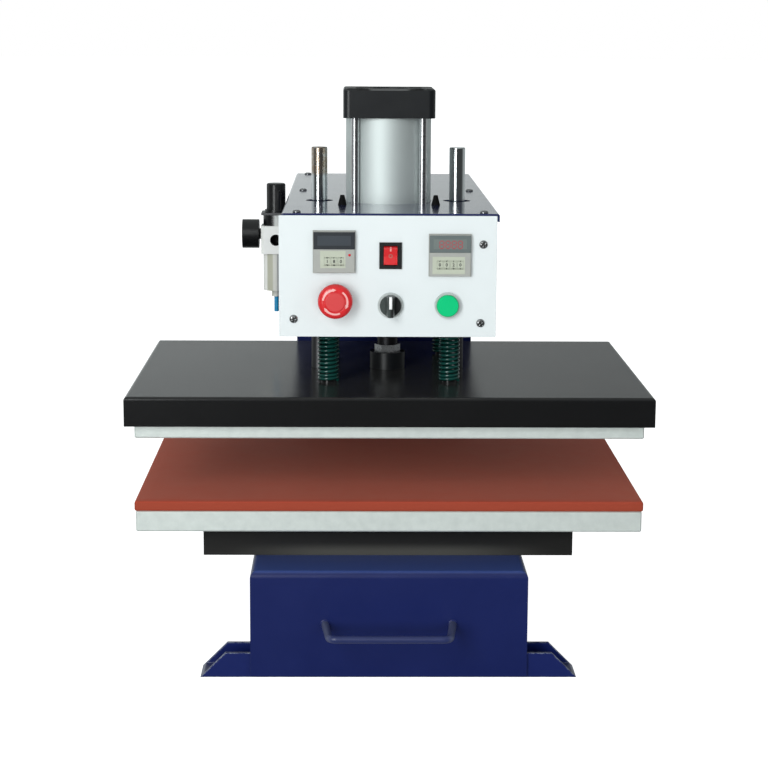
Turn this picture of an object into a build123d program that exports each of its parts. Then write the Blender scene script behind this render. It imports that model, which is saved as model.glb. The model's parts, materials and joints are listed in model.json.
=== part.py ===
"""A bench heat press with a slide-out lower platen, driven down by an air cylinder.

While it is modelled, x = 0, y = 0 is the cylinder's axis, z = 0 is the bench it stands on and the
operator stands at -Y. Every node is then moved along Y, so that the origin lies under the middle
of the whole machine. All sizes are millimetres.
"""
from build123d import *
import math
import os

# Clearances
running_gap = 0.05          # radial, shafts and pins in their bores
slide_gap = 0.1             # between a slide carriage and its rail
free_gap = 1.0              # between sheets that pass each other
hole_gap = 0.3              # radial, around screws and plain fixings

# Welded base: two open foot channels with two tubes along the machine
base_width = 450.0
channel_depth = 45.0
channel_height = 30.0
channel_wall = 4.0
beam_spacing = 210.0
beam_width = 40.0
beam_height = 30.0
beam_wall = 3.0
machine_back = 444.0        # y of the rear face of column, beams and housing

# Linear slides under the drawer
rail_width = 20.0
rail_height = 17.5
rail_groove = 2.0
rail_end_gap = 3.0
carriage_width = 44.0
carriage_length = 77.0
carriage_height = 30.0      # from the beam to the top of the carriage
carriage_lift = 5.0         # from the beam to the underside of the carriage

# Drawer box, handle and the frame that carries the lower platen
box_width = 330.0
box_front = -216.0
box_depth = 430.0
box_top = 131.0
box_bottom = 2.0
box_wall = 3.0
box_bend = 8.0
skirt_gap = 6.0             # between the side skirts and the front foot channel
bearer_width = 40.0
bearer_wall = 3.0
handle_diameter = 9.0
handle_spacing = 152.0      # at the box
handle_grip = 140.0         # between the bar's bends
handle_reach = 60.0
handle_height = 67.0
handle_bend = 9.0
frame_width = 450.0
frame_depth = 280.0
frame_height = 45.0
frame_wall = 3.0

# Platens
platen_width = 600.0
platen_depth = 400.0
platen_thickness = 25.0
platen_edge = 1.5
pad_thickness = 12.0
pad_overhang = 1.5
press_travel = 75.0
press_gap = 1.0             # left between the pad and the heat plate after the full stroke
heat_plate_thickness = 22.0
heat_plate_reveal = 16.0    # how much of the heat plate shows under the cover
cover_height = 35.0
cover_overhang = 11.0
cover_wall = 3.0
cover_edge = 4.0
element_diameter = 9.0
element_inset = 40.0        # from the heat plate's ends
element_count = 4
element_pitch = 100.0
insulation_gap = 18.0       # between the board and the cover's walls

# Head: column, arm and the plate that carries the cylinder
head_gap = 59.0             # from the cover up to the arm
arm_side_gap = 1.0          # between the arm and the housing's walls
arm_plate = 7.0
web_thickness = 6.0
web_inset = 2.0
web_height = 62.0
column_width = 244.0
column_depth = 180.0
column_wall = 6.0
column_foot_width = 270.0
column_foot = 8.0
column_clearance = 6.0      # between the closed drawer and the column
mount_side_gap = 2.0        # between the plate and the housing's walls
mount_margin = 20.0         # from the springs' axes to the plate's front and back
mount_plate = 20.0

# Air cylinder
cap_size = 112.5
cap_height = 35.0
cap_corner = 8.0
cap_edge = 1.5
barrel_inset = 3.25         # of the barrel behind the caps' sides
barrel_wall = 3.0
barrel_length = 133.0
tie_rod_inset = 14.75       # from the caps' sides
tie_rod_diameter = 10.0
tie_nut_size = 17.0
tie_nut_height = 6.0
tie_recess_depth = 8.0
tie_recess_gap = 3.0        # around the nuts' corners
cap_recess = 54.0
cap_recess_depth = 1.5
port_diameter = 18.0
port_depth = 14.0
piston_thickness = 35.0
piston_top_gap = 3.0
piston_side_gap = 0.1
piston_groove = 4.0
piston_rod_diameter = 25.0
rod_thread_diameter = 20.0
rod_nut_size = 28.0
rod_nut_height = 9.0
rod_way = 40.0              # hole that the piston rod passes through in the arm and its plate
boss_diameter = 44.0
boss_height = 21.0

# Guide rods, their bearings and the return springs
bearing_gap = 8.75          # between the cylinder's caps and the bearings' flanges
guide_diameter = 20.0
guide_reach = 278.0         # from the cover to the top of the rods
guide_seat = 6.0            # depth of the rods in the heat plate
guide_edge = 1.0
bearing_diameter = 32.0
bearing_flange = 42.0
bearing_flange_height = 8.0
bearing_height = 34.0
spring_spacing = 147.0
spring_offset = 105.0       # in front of and behind the cylinder
spring_diameter = 26.0
spring_wire = 4.0
spring_rings = 9
spring_stud_height = 12.0

# Housing, top plate and control panel
housing_width = 250.0
housing_sheet = 2.0
housing_flange = 24.0
housing_foot = 1.8          # how far the lower flange lies on the arm
panel_overhang = 2.8        # of the panel beyond the housing's walls, on average
panel_shift = -3.0          # the panel's screw slots leave it this far to the left
panel_height = 143.0
panel_sheet = 1.5
panel_clearance = 9.0       # between the controls' bodies and the cylinder's plate
top_plate = 2.5
lid_gap = 0.3               # between the top plate's sides and the housing's walls
lid_drop = 7.0              # how far the top plate's sides reach down
lid_bend = 3.0
top_hole_gap = 7.0          # radial, around the guide rods
screw_head = 10.0
screw_head_height = 2.5
screw_shank = 5.0
screw_length = 8.0
top_screw_inset = 15.0      # from the housing's walls
top_screw_front = 14.0      # from the panel's front to the first row
top_screw_middle = 144.0    # y of the middle row
top_screw_back = 17.0       # from the housing's back to the last row
panel_screw_seats = ((1, 16.0, 109.6), (-1, 11.5, 21.0), (1, 18.4, 16.7))
plug_spacing = 114.0
plug_row = -62.0
plug_base = 11.0
plug_top = 5.0
plug_height = 12.0

# Controls: (distance in from the panel's side, height above its lower edge)
thermostat_seat = (64.9, 100.7)
timer_seat = (55.0, 97.1)
stop_seat = (66.4, 44.3)
start_seat = (57.4, 38.0)
# and the two in the middle: (distance right of the panel's middle, height)
rocker_seat = (3.2, 96.2)
selector_seat = (3.3, 37.6)

unit_size = 48.0            # front of the thermostat and the timer
unit_proud = 6.0
unit_flange_size = 50.0
unit_flange = 2.0
unit_body = 44.0            # width and height behind the panel
unit_depth = 38.0
unit_window_width = 46.4
unit_window_height = 19.2
unit_window_drop = 1.0      # below the top of the front
unit_window_depth = 1.0
wheel_radius = 9.0
wheel_width = 6.6
wheel_pitch = 8.0
wheel_faces = 10
wheel_setback = 7.8         # of the wheels' axle behind the front
wheel_drop = 11.0           # of the axle below the middle of the front
wheel_gap = 0.35
axle_diameter = 3.0
thermostat_wheels = 3
timer_wheels = 4

button_hole = 22.0
button_ring = 30.0
button_ring_proud = 3.0
button_block = 28.0
button_block_depth = 26.0
button_neck = 12.0
button_bore_depth = 14.0
stem_diameter = 14.0
stop_stem_depth = 24.0
stop_head = 41.0
stop_head_height = 10.0
stop_neck = 26.0
stop_neck_height = 8.0
stop_rim = 2.0
stop_crown = 1.0
stop_bulge = 2.2
stop_bulge_place = 0.87     # of the head's radius
stop_middle = 24.0
stop_travel = 4.0
stop_pin = 8.0
start_cap = 25.6
start_cap_height = 6.0
start_ring_proud = 6.0
start_cup_depth = 5.5
start_stem_depth = 20.0
start_edge = 0.8
start_travel = 2.5
selector_base = 25.0
selector_base_height = 4.0
selector_grip = 12.0
selector_grip_height = 12.0
selector_crest = 6.0
rocker_side_rim = 4.85
rocker_end_rim = 3.95
rocker_lip = 2.0            # of the frame over the panel's opening
rocker_floor = 2.0
rocker_frame_proud = 2.0
rocker_width = 16.0
rocker_radius = 11.3
rocker_tilt = 10.0
rocker_depth = 18.0
rocker_pivot = 4.0          # behind the front of its frame

# Filter regulator on the left wall
regulator_gap = 1.2         # beside its body, and beside its nut
regulator_row = 140.0
regulator_width = 39.0
regulator_drop = 79.7       # of its underside below the housing's top
regulator_height = 36.8
regulator_edge = 4.0
regulator_port = 13.2
regulator_port_depth = 12.0
regulator_port_height = 18.5
bonnet_diameter = 34.0
bonnet_height = 14.4
bonnet_neck = 22.0          # where it passes through the bracket
nut_diameter = 30.0
nut_height = 3.3
bracket_sheet = 3.0
bracket_length = 38.0
bracket_rise = 19.0
knob_diameter = 25.0
knob_height = 34.5
knob_stem = 8.0
knob_ribs = 12
knob_notch = 1.2
knob_edge = 1.5
gauge_diameter = 38.0
gauge_depth = 22.0
gauge_rim = 2.0
gauge_stem = 14.0
gauge_stem_length = 3.0
gauge_height = 25.2         # of its axis above the regulator's underside
bowl_diameter = 34.0
bowl_height = 49.3
bowl_wall = 2.0
drain_diameter = 12.0
drain_height = 8.7
tube_diameter = 6.0
tube_length = 20.6

# Inside and behind the housing
valve_row = 200.0
valve_width = 60.0
valve_depth = 28.0
valve_height = 34.0
coil_size = 26.0
coil_length = 30.0
gland_size = 27.0
gland_thread = 20.0
gland_length = 16.0
gland_nut = 6.0
gland_reach = 8.0           # of its thread into the housing
gland_height = 34.0         # above the arm
gland_side = 60.0
gland_bore = 9.0

# Heights and rows that follow from the sizes above
half_base = base_width / 2
beam_top = channel_height + beam_height
rail_top = beam_top + rail_height
carriage_top = beam_top + carriage_height
frame_top = box_top + frame_height
platen_top = frame_top + platen_thickness
pad_top = platen_top + pad_thickness
heat_plate_bottom = pad_top + press_travel + press_gap
heat_plate_top = heat_plate_bottom + heat_plate_thickness
cover_bottom = heat_plate_bottom + heat_plate_reveal
cover_top = cover_bottom + cover_height
arm_bottom = cover_top + head_gap
arm_top = arm_bottom + arm_plate
mount_bottom = arm_top + web_height
mount_top = mount_bottom + mount_plate
front_cap_top = mount_top + cap_height
barrel_top = front_cap_top + barrel_length
rear_cap_top = barrel_top + cap_height
cover_half_width = platen_width / 2 + cover_overhang
cover_half_depth = platen_depth / 2 + cover_overhang
barrel_diameter = cap_size - 2 * barrel_inset
bore_diameter = barrel_diameter - 2 * barrel_wall
tie_nut_recess = tie_nut_size / math.cos(math.radians(30)) + 2 * tie_recess_gap
guide_x = cap_size / 2 + bearing_gap + bearing_flange / 2
guide_top = cover_top + guide_reach
spring_x = spring_spacing / 2
spring_stud = spring_diameter / 2 - spring_wire - hole_gap
spring_places = [(sx * spring_x, sy * spring_offset) for sx in (-1, 1) for sy in (-1, 1)]
arm_half = housing_width / 2 - housing_sheet - arm_side_gap
half_plate_depth = spring_offset + mount_margin
panel_half = housing_width / 2 + panel_overhang
panel_bottom = arm_top
panel_top = panel_bottom + panel_height
panel_front = -(half_plate_depth + panel_clearance + unit_depth)
panel_back = panel_front + panel_sheet
arm_front = -half_plate_depth
panel_left = panel_shift - panel_half
panel_right = panel_shift + panel_half
thermostat_place = (panel_left + thermostat_seat[0], thermostat_seat[1])
timer_place = (panel_right - timer_seat[0], timer_seat[1])
stop_place = (panel_left + stop_seat[0], stop_seat[1])
start_place = (panel_right - start_seat[0], start_seat[1])
rocker_place = (panel_shift + rocker_seat[0], rocker_seat[1])
selector_place = (panel_shift + selector_seat[0], selector_seat[1])
rocker_room_width = rocker_width + 2 * wheel_gap
rocker_room_height = 2 * (rocker_radius + wheel_gap)
rocker_frame_width = rocker_room_width + 2 * rocker_side_rim
rocker_frame_height = rocker_room_height + 2 * rocker_end_rim
channel_front = box_front + box_wall + free_gap
column_front = machine_back - column_depth
rail_front = channel_front + rail_end_gap
rail_back = column_front - rail_end_gap
bearer_back = column_front - column_clearance
bearer_height = box_top - box_wall - carriage_top
body_reach = regulator_gap + regulator_width / 2
nut_reach = bracket_sheet / 2 + regulator_gap + nut_diameter / 2
regulator_x = -(housing_width / 2 + max(body_reach, nut_reach))
regulator_bottom = panel_top - regulator_drop
regulator_top = regulator_bottom + regulator_height
bracket_bottom = regulator_top + bonnet_height
knob_bottom = bracket_bottom + bracket_sheet + nut_height
machine_front = box_front - handle_reach - handle_diameter / 2
gland_back = machine_back + gland_length
frame_shift = -(machine_front + gland_back) / 2


def block(x0, x1, y0, y1, z0, z1):
    """A box between two corners."""
    middle = Pos((x0 + x1) / 2, (y0 + y1) / 2, (z0 + z1) / 2)
    return middle * Box(x1 - x0, y1 - y0, z1 - z0)


def upright(radius, x, y, z0, z1):
    """A cylinder along Z."""
    return Pos(x, y, (z0 + z1) / 2) * Cylinder(radius, z1 - z0)


def across(radius, y, z, x0, x1):
    """A cylinder along X."""
    return Pos((x0 + x1) / 2, y, z) * Rot(0, 90, 0) * Cylinder(radius, x1 - x0)


def inward(radius, x, z, y0, y1):
    """A cylinder along Y."""
    return Pos(x, (y0 + y1) / 2, z) * Rot(90, 0, 0) * Cylinder(radius, y1 - y0)


def section(points, plane, length):
    """A polygon drawn on a plane and extruded along the plane's normal."""
    return extrude(plane * Polygon(*points, align=None), length)


def hexagon(size, x, y, z0, z1):
    """A hexagonal nut blank along Z, size across its flats."""
    outline = Plane.XY.offset(z0) * Pos(x, y) * RegularPolygon(size / 2, 6, major_radius=False)
    return extrude(outline, z1 - z0)


# Welded base
def foot_channel(front):
    """A channel open at the top, with its ends cut at 45 degrees."""
    outline = [(-half_base, 0), (half_base, 0),
               (half_base - channel_height, channel_height),
               (-half_base + channel_height, channel_height)]
    profile = Plane.XZ.offset(-(front + channel_depth))
    body = section(outline, profile, channel_depth)
    hollow = block(-half_base, half_base, front + channel_wall,
                   front + channel_depth - channel_wall, channel_wall, channel_height)
    return body - hollow


def base_frame():
    rear_channel = machine_back - channel_depth
    frame = foot_channel(channel_front) + foot_channel(rear_channel)
    for side in (-1, 1):
        middle = side * beam_spacing / 2
        left, right = middle - beam_width / 2, middle + beam_width / 2
        tube = block(left, right, channel_front, machine_back, channel_height, beam_top)
        bore = block(left + beam_wall, right - beam_wall, channel_front, machine_back,
                     channel_height + beam_wall, beam_top - beam_wall)
        frame += tube - bore
    return frame


def slide_rails():
    """Two profile rails with a groove along each flank."""
    half = rail_width / 2
    middle = beam_top + rail_height / 2
    rails = []
    for side in (-1, 1):
        x = side * beam_spacing / 2
        outline = [(x - half, beam_top), (x + half, beam_top),
                   (x + half, middle - rail_groove), (x + half - rail_groove, middle),
                   (x + half, middle + rail_groove), (x + half, rail_top),
                   (x - half, rail_top), (x - half, middle + rail_groove),
                   (x - half + rail_groove, middle), (x - half, middle - rail_groove)]
        rails.append(section(outline, Plane.XZ.offset(-rail_back), rail_back - rail_front))
    return rails


def slide_carriages():
    """Four saddles, two on each rail, side by side under the back of the drawer."""
    carriages = []
    bottom = beam_top + carriage_lift
    half_rail = rail_width / 2 + slide_gap
    for side in (-1, 1):
        x = side * beam_spacing / 2
        for place in range(2):
            back = bearer_back - place * (carriage_length + free_gap)
            saddle = block(x - carriage_width / 2, x + carriage_width / 2,
                           back - carriage_length, back, bottom, carriage_top)
            slot = block(x - half_rail, x + half_rail, back - carriage_length, back,
                         bottom, rail_top + slide_gap)
            carriages.append(saddle - slot)
    return carriages


# Drawer
def drawer_box():
    """A folded sheet box, open below and behind, whose front plate reaches down over the foot."""
    half = box_width / 2
    back = box_front + box_depth

    def folded(inset, bend):
        shape = block(-half + inset, half - inset, box_front + inset, back,
                      box_bottom, box_top - inset)
        upper = shape.edges().filter_by(lambda e: e.center().Z > box_top - inset - 0.01)
        bends = upper.filter_by(lambda e: e.center().Y < back - 0.01)
        return fillet(bends, bend)

    box = folded(0, box_bend) - folded(box_wall, box_bend - box_wall)
    skirt_bottom = channel_height + skirt_gap
    return box - block(-half, half, box_front + box_wall, back, box_bottom, skirt_bottom)


def slide_bearers():
    """Two tubes under the top of the drawer that carry it on the carriages."""
    bearers = []
    front = box_front + box_bend
    for side in (-1, 1):
        middle = side * beam_spacing / 2
        left, right = middle - bearer_width / 2, middle + bearer_width / 2
        tube = block(left, right, front, bearer_back, carriage_top, carriage_top + bearer_height)
        bore = block(left + bearer_wall, right - bearer_wall, front, bearer_back,
                     carriage_top + bearer_wall, carriage_top + bearer_height - bearer_wall)
        bearers.append(tube - bore)
    return bearers


def pull_handle():
    """A bent round bar, narrower in front, welded to the front of the drawer."""
    front = box_front - handle_reach
    lean = (handle_spacing - handle_grip) / 2 / handle_reach
    foot = handle_spacing / 2 + lean * handle_diameter
    back = box_front + handle_diameter
    corners = [(-foot, back, handle_height), (-handle_grip / 2, front, handle_height),
               (handle_grip / 2, front, handle_height), (foot, back, handle_height)]
    path = FilletPolyline(*corners, radius=handle_bend)
    start = Plane(origin=corners[0], z_dir=path @ 0.01 - path @ 0)
    bar = sweep(start * Circle(handle_diameter / 2), path=path)
    return bar - block(-base_width, base_width, box_front, 2 * back - box_front, 0, box_top)


def folded_tray(half_x, half_y, bottom, top, wall, edge):
    """A sheet tray turned upside down, with rounded upper edges."""
    outer = block(-half_x, half_x, -half_y, half_y, bottom, top)
    rim = outer.edges().filter_by(lambda e: e.center().Z > top - 0.01)
    inner = block(-half_x + wall, half_x - wall, -half_y + wall, half_y - wall,
                  bottom, top - wall)
    return fillet(rim, edge) - inner


def carriage_frame():
    tray = block(-frame_width / 2, frame_width / 2, -frame_depth / 2, frame_depth / 2,
                 box_top, frame_top)
    half_x, half_y = frame_width / 2 - frame_wall, frame_depth / 2 - frame_wall
    return tray - block(-half_x, half_x, -half_y, half_y, box_top, frame_top - frame_wall)


def platen(bottom, top, spread=0.0):
    """A flat plate with its outline's upper and lower edges broken."""
    half_x, half_y = platen_width / 2 + spread, platen_depth / 2 + spread
    plate = block(-half_x, half_x, -half_y, half_y, bottom, top)
    return chamfer(plate.edges(), platen_edge)


def silicone_pad():
    half_x, half_y = platen_width / 2 + pad_overhang, platen_depth / 2 + pad_overhang
    return block(-half_x, half_x, -half_y, half_y, platen_top, pad_top)


# Press head: what moves down
def heat_plate():
    plate = platen(heat_plate_bottom, heat_plate_top)
    for side in (-1, 1):
        seat = heat_plate_top - guide_seat
        plate -= upright(guide_diameter / 2, side * guide_x, 0, seat, heat_plate_top)
    return plate


def heating_elements():
    """Tubular heaters that lie on the back of the heat plate."""
    radius = element_diameter / 2
    half = platen_width / 2 - element_inset
    elements = []
    for number in range(element_count):
        y = (number - (element_count - 1) / 2) * element_pitch
        elements.append(across(radius, y, heat_plate_top + radius, -half, half))
    return elements


def insulation_board():
    """The board between the heaters and the top of the cover."""
    low = heat_plate_top + element_diameter + free_gap
    top = cover_top - cover_wall
    half_x = cover_half_width - cover_wall - insulation_gap
    half_y = cover_half_depth - cover_wall - insulation_gap
    board = block(-half_x, half_x, -half_y, half_y, low, top)
    board -= upright(boss_diameter / 2 + hole_gap, 0, 0, low, top)
    for side in (-1, 1):
        board -= upright(guide_diameter / 2 + hole_gap, side * guide_x, 0, low, top)
    return board


def heat_cover():
    """The black tray over the heat plate, with the studs that the springs are hooked on."""
    cover = folded_tray(cover_half_width, cover_half_depth, cover_bottom, cover_top,
                        cover_wall, cover_edge)
    cover -= upright(boss_diameter / 2, 0, 0, cover_bottom, cover_top)
    for side in (-1, 1):
        cover -= upright(guide_diameter / 2 + hole_gap, side * guide_x, 0, cover_bottom, cover_top)
    for x, y in spring_places:
        cover += upright(spring_stud, x, y, cover_top, cover_top + spring_stud_height)
    return cover


def press_boss():
    """The boss that carries the cylinder's push through the cover to the heat plate."""
    boss = upright(boss_diameter / 2, 0, 0, heat_plate_top, cover_top + boss_height)
    return boss - upright(rod_thread_diameter / 2, 0, 0, cover_top, cover_top + boss_height)


def rod_nut():
    bottom = cover_top + boss_height
    nut = hexagon(rod_nut_size, 0, 0, bottom, bottom + rod_nut_height)
    return nut - upright(rod_thread_diameter / 2, 0, 0, bottom, bottom + rod_nut_height)


def piston_rod():
    thread_top = cover_top + boss_height + rod_nut_height
    rod = upright(rod_thread_diameter / 2, 0, 0, cover_top, thread_top)
    return rod + upright(piston_rod_diameter / 2, 0, 0, thread_top, barrel_top - piston_top_gap)


def piston():
    """The piston on its rod, with a groove for its seal."""
    outer = bore_diameter / 2 - piston_side_gap
    inner = piston_rod_diameter / 2
    top = barrel_top - piston_top_gap
    bottom = top - piston_thickness
    middle = (top + bottom) / 2
    outline = [(inner, bottom), (outer, bottom), (outer, middle - piston_groove),
               (outer - piston_groove, middle - piston_groove),
               (outer - piston_groove, middle + piston_groove),
               (outer, middle + piston_groove), (outer, top), (inner, top)]
    return revolve(Plane.XZ * Polygon(*outline, align=None), Axis.Z)


def guide_rod(side):
    radius = guide_diameter / 2
    rod = upright(radius, side * guide_x, 0, heat_plate_top - guide_seat, guide_top)
    return chamfer(rod.edges().sort_by(Axis.Z)[-1], guide_edge)


def return_springs():
    """Tension springs as ribbed sleeves: one rib for every second turn of the coil."""
    outer = spring_diameter / 2
    inner = outer - spring_wire
    bottom = cover_top + hole_gap
    top = mount_bottom - hole_gap
    pitch = (top - bottom) / spring_rings
    outline = [(inner, bottom)]
    for ring in range(spring_rings):
        outline.append((outer - spring_wire / 2, bottom + ring * pitch))
        outline.append((outer, bottom + (ring + 0.5) * pitch))
    outline.append((outer - spring_wire / 2, top))
    outline.append((inner, top))
    sleeve = revolve(Plane.XZ * Polygon(*outline, align=None), Axis.Z)
    return [Pos(x, y) * sleeve for x, y in spring_places]


# Head: what stands still
def column():
    half = column_width / 2
    foot_top = beam_top + column_foot
    tube = block(-half, half, column_front, machine_back, foot_top, arm_bottom)
    bore = block(-half + column_wall, half - column_wall, column_front + column_wall,
                 machine_back - column_wall, foot_top, arm_bottom)
    half_foot = column_foot_width / 2
    foot = block(-half_foot, half_foot, column_front, machine_back, beam_top, foot_top)
    return tube - bore + foot


def head_frame():
    """The arm: a plate with two upright webs that carry the cylinder's plate."""
    web_back = machine_back - housing_sheet - free_gap
    arm = block(-arm_half, arm_half, arm_front, machine_back, arm_bottom, arm_top)
    for side in (-1, 1):
        outer = side * (arm_half - web_inset)
        inner = side * (arm_half - web_inset - web_thickness)
        arm += block(min(outer, inner), max(outer, inner), arm_front, web_back,
                     arm_top, mount_bottom)
    arm -= upright(rod_way / 2, 0, 0, arm_bottom, arm_top)
    for side in (-1, 1):
        arm -= upright(guide_diameter / 2 + free_gap, side * guide_x, 0,
                       arm_bottom, mount_bottom)
    for x, y in spring_places:
        arm -= upright(spring_diameter / 2 + 2 * free_gap, x, y, arm_bottom, arm_top)
    return arm


def cylinder_mount_plate():
    """The thick plate under the cylinder, with the studs that hold the springs' upper ends."""
    half = housing_width / 2 - housing_sheet - mount_side_gap
    plate = block(-half, half, -half_plate_depth, half_plate_depth, mount_bottom, mount_top)
    for x, y in spring_places:
        plate += upright(spring_stud, x, y, mount_bottom - spring_stud_height, mount_bottom)
    plate -= upright(rod_way / 2, 0, 0, mount_bottom, mount_top)
    for side in (-1, 1):
        plate -= upright(bearing_diameter / 2, side * guide_x, 0, mount_bottom, mount_top)
    return plate


def guide_bearings():
    """Flanged linear bearings for the two guide rods."""
    bearings = []
    flange_top = mount_top + bearing_flange_height
    half = bearing_flange / 2
    for side in (-1, 1):
        x = side * guide_x
        bearing = upright(bearing_diameter / 2, x, 0, mount_bottom, flange_top + bearing_height)
        bearing += block(x - half, x + half, -half, half, mount_top, flange_top)
        bore = guide_diameter / 2 + running_gap
        bearing -= upright(bore, x, 0, mount_bottom, flange_top + bearing_height)
        bearings.append(bearing)
    return bearings


def tie_rod_places():
    half = cap_size / 2 - tie_rod_inset
    return [(sx * half, sy * half) for sx in (-1, 1) for sy in (-1, 1)]


def cylinder_cap(bottom):
    """A square cast cap with rounded corners, an air port behind and four tie-rod holes."""
    half = cap_size / 2
    cap = block(-half, half, -half, half, bottom, bottom + cap_height)
    cap = fillet(cap.edges().filter_by(Axis.Z), cap_corner)
    middle = bottom + cap_height / 2
    cap -= inward(port_diameter / 2, 0, middle, half - port_depth, half)
    for x, y in tie_rod_places():
        cap -= upright(tie_rod_diameter / 2, x, y, bottom, bottom + cap_height)
    return cap


def cylinder_front_cap():
    bore = piston_rod_diameter / 2 + running_gap
    return cylinder_cap(mount_top) - upright(bore, 0, 0, mount_top, front_cap_top)


def cylinder_rear_cap():
    """The top cap, with its nuts sunk in the corners and a shallow round recess."""
    cap = cylinder_cap(barrel_top)
    rim = [e for e in cap.edges() if e.center().Z > rear_cap_top - 0.01
           and max(abs(e.center().X), abs(e.center().Y)) > cap_size / 2 - cap_corner]
    cap = chamfer(rim, cap_edge)
    cap -= upright(cap_recess / 2, 0, 0, rear_cap_top - cap_recess_depth, rear_cap_top)
    for x, y in tie_rod_places():
        cap -= upright(tie_nut_recess / 2, x, y, rear_cap_top - tie_recess_depth, rear_cap_top)
    return cap


def cylinder_barrel():
    tube = upright(barrel_diameter / 2, 0, 0, front_cap_top, barrel_top)
    return tube - upright(bore_diameter / 2, 0, 0, front_cap_top, barrel_top)


def tie_rods():
    """Four tie rods, each with its nut in the top cap."""
    rods = []
    nut_bottom = rear_cap_top - tie_recess_depth
    nut_top = nut_bottom + tie_nut_height
    for x, y in tie_rod_places():
        rod = upright(tie_rod_diameter / 2, x, y, mount_top, nut_top + free_gap)
        rods.append(rod + hexagon(tie_nut_size, x, y, nut_bottom, nut_top))
    return rods


def head_housing():
    """A folded sheet housing with flanges for the panel, the top plate and the arm."""
    half = housing_width / 2
    sheet = housing_sheet
    shell = block(-half, half, panel_back, machine_back, panel_bottom, panel_top)
    room = block(-half + sheet, half - sheet, panel_back + sheet, machine_back - sheet,
                 panel_bottom + sheet, panel_top - sheet)
    inner = half - housing_flange
    seat = arm_half - housing_foot
    front_way = block(-inner, inner, panel_back, panel_back + sheet,
                      panel_bottom, panel_top - sheet)
    top_way = block(-inner, inner, panel_back, machine_back - housing_flange,
                    panel_top - sheet, panel_top)
    bottom_way = block(-seat, seat, panel_back, machine_back - sheet,
                       panel_bottom, panel_bottom + sheet)
    shell = shell - room - front_way - top_way - bottom_way
    hole = screw_shank / 2 + hole_gap
    for x, height in panel_screw_places():
        shell -= inward(hole, x, panel_bottom + height, panel_back, panel_back + sheet)
    for x, y in top_screw_places():
        shell -= upright(hole, x, y, panel_top - sheet, panel_top)
    return shell - inward(gland_thread / 2, gland_side, arm_top + gland_height,
                          machine_back - sheet, machine_back)


def top_screw_places():
    x = housing_width / 2 - top_screw_inset
    rows = (panel_front + top_screw_front, top_screw_middle, machine_back - top_screw_back)
    return [(side * x, y) for side in (-1, 1) for y in rows]


def panel_screw_places():
    half = housing_width / 2
    return [(side * (half - inset), height) for side, inset, height in panel_screw_seats]


def top_plate_node():
    """The lid, folded down beside the housing and cut out for the cylinder and the guide rods."""
    inner = housing_width / 2 + lid_gap
    half = inner + top_plate
    low, high = panel_top, panel_top + top_plate
    plate = block(-half, half, panel_front, machine_back, low - lid_drop, high)
    bends = plate.edges().filter_by(Axis.Y).group_by(Axis.Z)[-1]
    plate = fillet(bends, lid_bend)
    plate -= block(-inner, inner, panel_front, machine_back, low - lid_drop, low)
    plate -= block(-half, half, panel_front, panel_back, low - lid_drop, low)
    plate -= upright(barrel_diameter / 2 + free_gap, 0, 0, low, high)
    for x, y in tie_rod_places():
        plate -= upright(tie_rod_diameter / 2 + free_gap, x, y, low, high)
    for side in (-1, 1):
        plate -= upright(guide_diameter / 2 + top_hole_gap, side * guide_x, 0, low, high)
    for x, y in top_screw_places():
        plate -= upright(screw_shank / 2 + hole_gap, x, y, low, high)
    return plate


def housing_screws():
    """The pan-head screws of the top plate and the panel."""
    head = Cylinder(screw_head / 2, screw_head_height, align=(Align.CENTER, Align.CENTER, Align.MIN))
    head = chamfer(head.edges().sort_by(Axis.Z)[-1], screw_head_height / 3)
    shank = Cylinder(screw_shank / 2, screw_length, align=(Align.CENTER, Align.CENTER, Align.MAX))
    screw = head + shank
    screws = [Pos(x, y, panel_top + top_plate) * screw for x, y in top_screw_places()]
    for x, height in panel_screw_places():
        screws.append(Pos(x, panel_front, panel_bottom + height) * Rot(90, 0, 0) * screw)
    return screws


def plate_plugs():
    """Two small black conical plugs beside the foot of the barrel."""
    low = panel_top + top_plate
    plug = Pos(0, 0, low + plug_height / 2) * Cone(plug_base / 2, plug_top / 2, plug_height)
    return [Pos(side * plug_spacing / 2, plug_row) * plug for side in (-1, 1)]


def control_panel():
    panel = block(panel_left, panel_right, panel_front, panel_back, panel_bottom, panel_top)

    def opening(place, width, height):
        x, z = place[0], panel_bottom + place[1]
        return block(x - width / 2, x + width / 2, panel_front, panel_back,
                     z - height / 2, z + height / 2)

    for place in (thermostat_place, timer_place):
        panel -= opening(place, unit_body + 2 * hole_gap, unit_body + 2 * hole_gap)
    inner = 2 * rocker_lip
    panel -= opening(rocker_place, rocker_frame_width - inner, rocker_frame_height - inner)
    for x, height in (stop_place, selector_place, start_place):
        panel -= inward(button_hole / 2 + hole_gap, x, panel_bottom + height,
                        panel_front, panel_back)
    for x, height in panel_screw_places():
        panel -= inward(screw_shank / 2 + hole_gap, x, panel_bottom + height,
                        panel_front, panel_back)
    return panel


# Controls
def unit_front():
    return panel_front - unit_proud


def wheel_axle(place):
    """Row and height of the axle that carries a unit's thumbwheels."""
    return unit_front() + wheel_setback, panel_bottom + place[1] - wheel_drop


def wheel_middles(place, count):
    return [place[0] + (n - (count - 1) / 2) * wheel_pitch for n in range(count)]


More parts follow.
